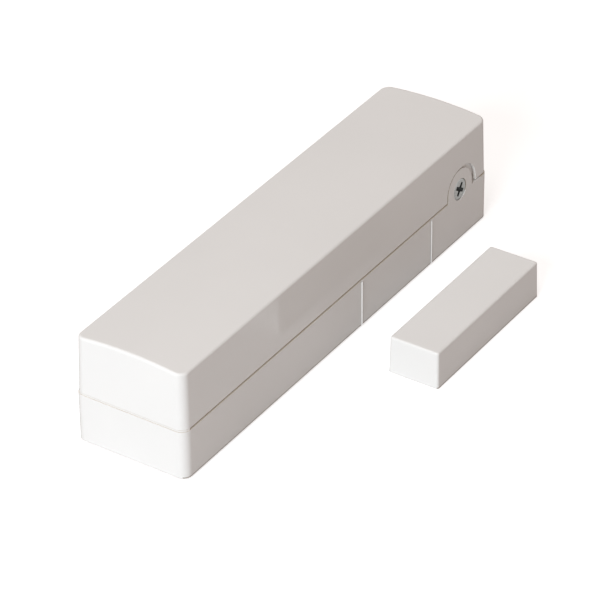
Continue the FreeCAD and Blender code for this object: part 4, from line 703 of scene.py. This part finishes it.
def ring_faces(count):
    """Faces between one ring and the next, with a cap on the first and on the last."""
    faces = []
    for ring in range(count - 1):
        first = ring * AROUND
        second = first + AROUND
        for number in range(AROUND):
            onward = (number + 1) % AROUND
            faces.append((first + number, first + onward, second + onward, second + number))
    faces.append(tuple(reversed(range(AROUND))))
    faces.append(tuple(range((count - 1) * AROUND, count * AROUND)))
    return faces


def build_screw():
    """The cover screw, with its cross recess and its thread."""
    low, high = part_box("cover_screw")
    centre = (low + high) / 2
    rings = screw_rings(low.y, high.y)
    points = []
    for place, radii in rings:
        for angle, radius in zip(ANGLES, radii):
            turned = angle + CROSS_TURN
            x = centre.x + radius * math.cos(turned)
            z = centre.z + radius * math.sin(turned)
            points.append((x, place, z))
    faces = ring_faces(len(rings))
    plated = metal("screw_nickel", NICKEL, 0.30, (500.0, 60.0, 500.0))
    screw = new_piece("screw_detail", points, faces, plated, recess_shade())
    recess_end = AROUND * (len(RECESS_STEPS) - 1)
    recess_floor = len(faces) - 2
    for number, face in enumerate(screw.data.polygons):
        # Painted shade: the faces of the recess take the dark recess material
        face.material_index = int(number < recess_end or number == recess_floor)
    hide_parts("cover_screw")
    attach(screw, "root")


def flange_outline():
    """The flange's edge: round one corner of the base to the front, and the mirror image of that."""
    low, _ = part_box("base")
    front = low.x + FLANGE_BACK
    side = -low.y - FLANGE_BACK
    radius = CORNER_RADIUS - FLANGE_BACK
    outline = [(front + FLANGE_DEEP, side - radius * 0.2), (front + radius, side)]
    for step in range(1, FLANGE_STEPS + 1):
        turn = math.radians(90.0) * step / FLANGE_STEPS
        outline.append((front + radius * (1 - math.sin(turn)), side - radius * (1 - math.cos(turn))))
    return outline + [(x, -y) for x, y in reversed(outline)]


def build_flange():
    """A thin flange that fills the seam across the hooked end, from one rounded corner to the other."""
    outline = flange_outline()
    count = len(outline)
    points = [(x, y, BASE_RIM + FLANGE_PLAY) for x, y in outline]
    points += [(x, y, COVER_FOOT - FLANGE_PLAY) for x, y in outline]
    faces = [tuple(reversed(range(count))), tuple(range(count, count * 2))]
    for number in range(count):
        onward = (number + 1) % count
        faces.append((number, onward, onward + count, number + count))
    plastic = moulded_plastic("flange_plastic", WHITE_PLASTIC, 0.20, 0.000003)
    flange = new_piece("seam_flange", points, faces, plastic)
    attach(flange, "root")


def build_bead(number, x, rise):
    """A fine raised bead, steep towards the hooked end, along one score line."""
    face = SIDE_FACE + BEAD_SINK
    profile = [(x - rise * 0.6, face), (x + rise * 0.1, face - rise), (x + rise * 1.1, face)]
    points = [(*corner, height) for height in (BEAD_FOOT, BEAD_TOP) for corner in profile]
    faces = [(0, 2, 1), (3, 4, 5), (0, 1, 4, 3), (1, 2, 5, 4), (2, 0, 3, 5)]
    plastic = moulded_plastic(f"bead_plastic_{number}", WHITE_PLASTIC, 0.20, 0.000003)
    bead = new_piece(f"score_bead_{number}", points, faces, plastic)
    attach(bead, "root")


def build_pieces():
    build_screw()
    build_flange()
    for number, (x, rise) in enumerate(BEADS):
        build_bead(number, x, rise)


# Light, floor and camera

def area_light(name, place, power, tint):
    """A soft square lamp, which doesn't show as a bright square in the gloss."""
    data = bpy.data.lights.new(name, "AREA")
    data.shape = "RECTANGLE"
    data.size, data.size_y = LAMP_SIZE
    data.energy = power
    data.color = tint
    light = bpy.data.objects.new(name, data)
    light.location = place
    light.rotation_mode = "QUATERNION"
    light.rotation_quaternion = (Vector(LAMP_AIM) - Vector(place)).to_track_quat("-Z", "Y")
    light.visible_glossy = False
    bpy.context.scene.collection.objects.link(light)


def any_of(tree, first, second):
    """A node's output that is 1 where either of two ray kinds is 1."""
    node = tree.nodes.new("ShaderNodeMath")
    node.operation = "MAXIMUM"
    tree.links.new(first, node.inputs[0])
    tree.links.new(second, node.inputs[1])
    return node.outputs["Value"]


def light_world():
    """A dim warm world that shows plain white to the camera, direct or in metal and glass."""
    world = bpy.data.worlds.new("studio")
    bpy.context.scene.world = world
    world.use_nodes = True
    tree = world.node_tree
    lit = tree.nodes["Background"]
    lit.inputs["Color"].default_value = (*WORLD_TINT, 1.0)
    lit.inputs["Strength"].default_value = WORLD_STRENGTH
    white = tree.nodes.new("ShaderNodeBackground")
    white.inputs["Color"].default_value = (1.0, 1.0, 1.0, 1.0)
    white.inputs["Strength"].default_value = 1.0
    path = tree.nodes.new("ShaderNodeLightPath")
    direct = any_of(tree, path.outputs["Is Camera Ray"], path.outputs["Is Glossy Ray"])
    seen = any_of(tree, direct, path.outputs["Is Transmission Ray"])
    mix = tree.nodes.new("ShaderNodeMixShader")
    tree.links.new(seen, mix.inputs["Fac"])
    tree.links.new(lit.outputs["Background"], mix.inputs[1])
    tree.links.new(white.outputs["Background"], mix.inputs[2])
    tree.links.new(mix.outputs["Shader"], tree.nodes["World Output"].inputs["Surface"])


def floor_glow(look, path):
    """The glow that brings the floor up to white for the camera, weaker in mirrors, and dimmed at the contact
    as a painted contact shadow.
    """
    away = look.reach((0.0, 0.0, 0.0), (1.0, 1.0, 0.0))
    glow = look.span(away, FLOOR_GLOW, FAR_GLOW, GLOW_START, GLOW_STOP)
    direct = look.math("MULTIPLY", path.outputs["Is Camera Ray"], glow)
    bent = look.math("MAXIMUM", path.outputs["Is Glossy Ray"], path.outputs["Is Transmission Ray"])
    seen = look.math("MAXIMUM", direct, look.math("MULTIPLY", bent, MIRRORED_GLOW))
    # Painted contact shadow: the glow dims where the object lies within reach
    near = look.add("ShaderNodeAmbientOcclusion", samples=8)
    near.inputs["Distance"].default_value = CONTACT_REACH
    contact_shadow = look.span(near.outputs["AO"], CONTACT_SHADOW_GLOW, 1.0, 0.5, 0.9)
    return look.math("MULTIPLY", seen, contact_shadow)


def floor_paper():
    """Pale paper that glows for the camera, and is clear from below and where the object touches it."""
    look = Look("floor_paper", Roughness=1.0, Specular_IOR_Level=0.0)
    look.color(look.blend(look.span(look.noise(60.0), 0.0, 1.0), tinted(FLOOR_PALE, 0.98), FLOOR_PALE))
    path = look.add("ShaderNodeLightPath")
    look.feed(look.shader.inputs["Emission Color"], (1.0, 1.0, 1.0))
    look.feed(look.shader.inputs["Emission Strength"], floor_glow(look, path))
    below = look.add("ShaderNodeNewGeometry").outputs["Backfacing"]
    touching = look.math("LESS_THAN", path.outputs["Ray Length"], FLOOR_CLEAR)
    clear = look.add("ShaderNodeMixShader")
    look.feed(clear.inputs["Fac"], look.math("MAXIMUM", below, touching))
    look.feed(clear.inputs[1], look.shader.outputs["BSDF"])
    look.feed(clear.inputs[2], look.add("ShaderNodeBsdfTransparent").outputs["BSDF"])
    look.feed(look.tree.nodes["Material Output"].inputs["Surface"], clear.outputs["Shader"])
    return look


def lay_floor():
    """A pale floor that takes the object's shadow."""
    half = FLOOR_HALF
    corners = [(-half, -half, 0.0), (half, -half, 0.0), (half, half, 0.0), (-half, half, 0.0)]
    floor = new_piece("floor", corners, [(0, 1, 2, 3)], floor_paper())
    floor.location.z = -FLOOR_DROP


def place_camera():
    """The camera at the photograph's place, with its small roll."""
    azimuth = math.radians(PHOTO_AZIMUTH)
    elevation = math.radians(PHOTO_ELEVATION)
    level = math.cos(elevation)
    back = Vector((math.sin(azimuth) * level, -math.cos(azimuth) * level, math.sin(elevation)))
    roll = Matrix.Rotation(math.radians(PHOTO_ROLL), 3, back)
    right = Vector((0.0, 0.0, 1.0)).cross(back).normalized()
    up = roll @ back.cross(right)
    right = roll @ right
    aim = right * AIM_RIGHT + up * AIM_UP
    data = bpy.data.cameras.new("photo_camera")
    data.lens = PHOTO_LENS
    camera = bpy.data.objects.new("photo_camera", data)
    turn = Matrix((right, up, back)).transposed()
    camera.matrix_world = Matrix.Translation(aim + back * PHOTO_DISTANCE) @ turn.to_4x4()
    bpy.context.scene.collection.objects.link(camera)
    bpy.context.scene.camera = camera


def set_stage():
    bpy.context.scene.view_settings.view_transform = "Standard"
    light_world()
    lay_floor()
    area_light("key", KEY_PLACE, KEY_POWER, KEY_TINT)
    area_light("overhead", OVERHEAD_PLACE, OVERHEAD_POWER, OVERHEAD_TINT)
    place_camera()


dress_housing()
dress_inside()
build_pieces()
set_stage()
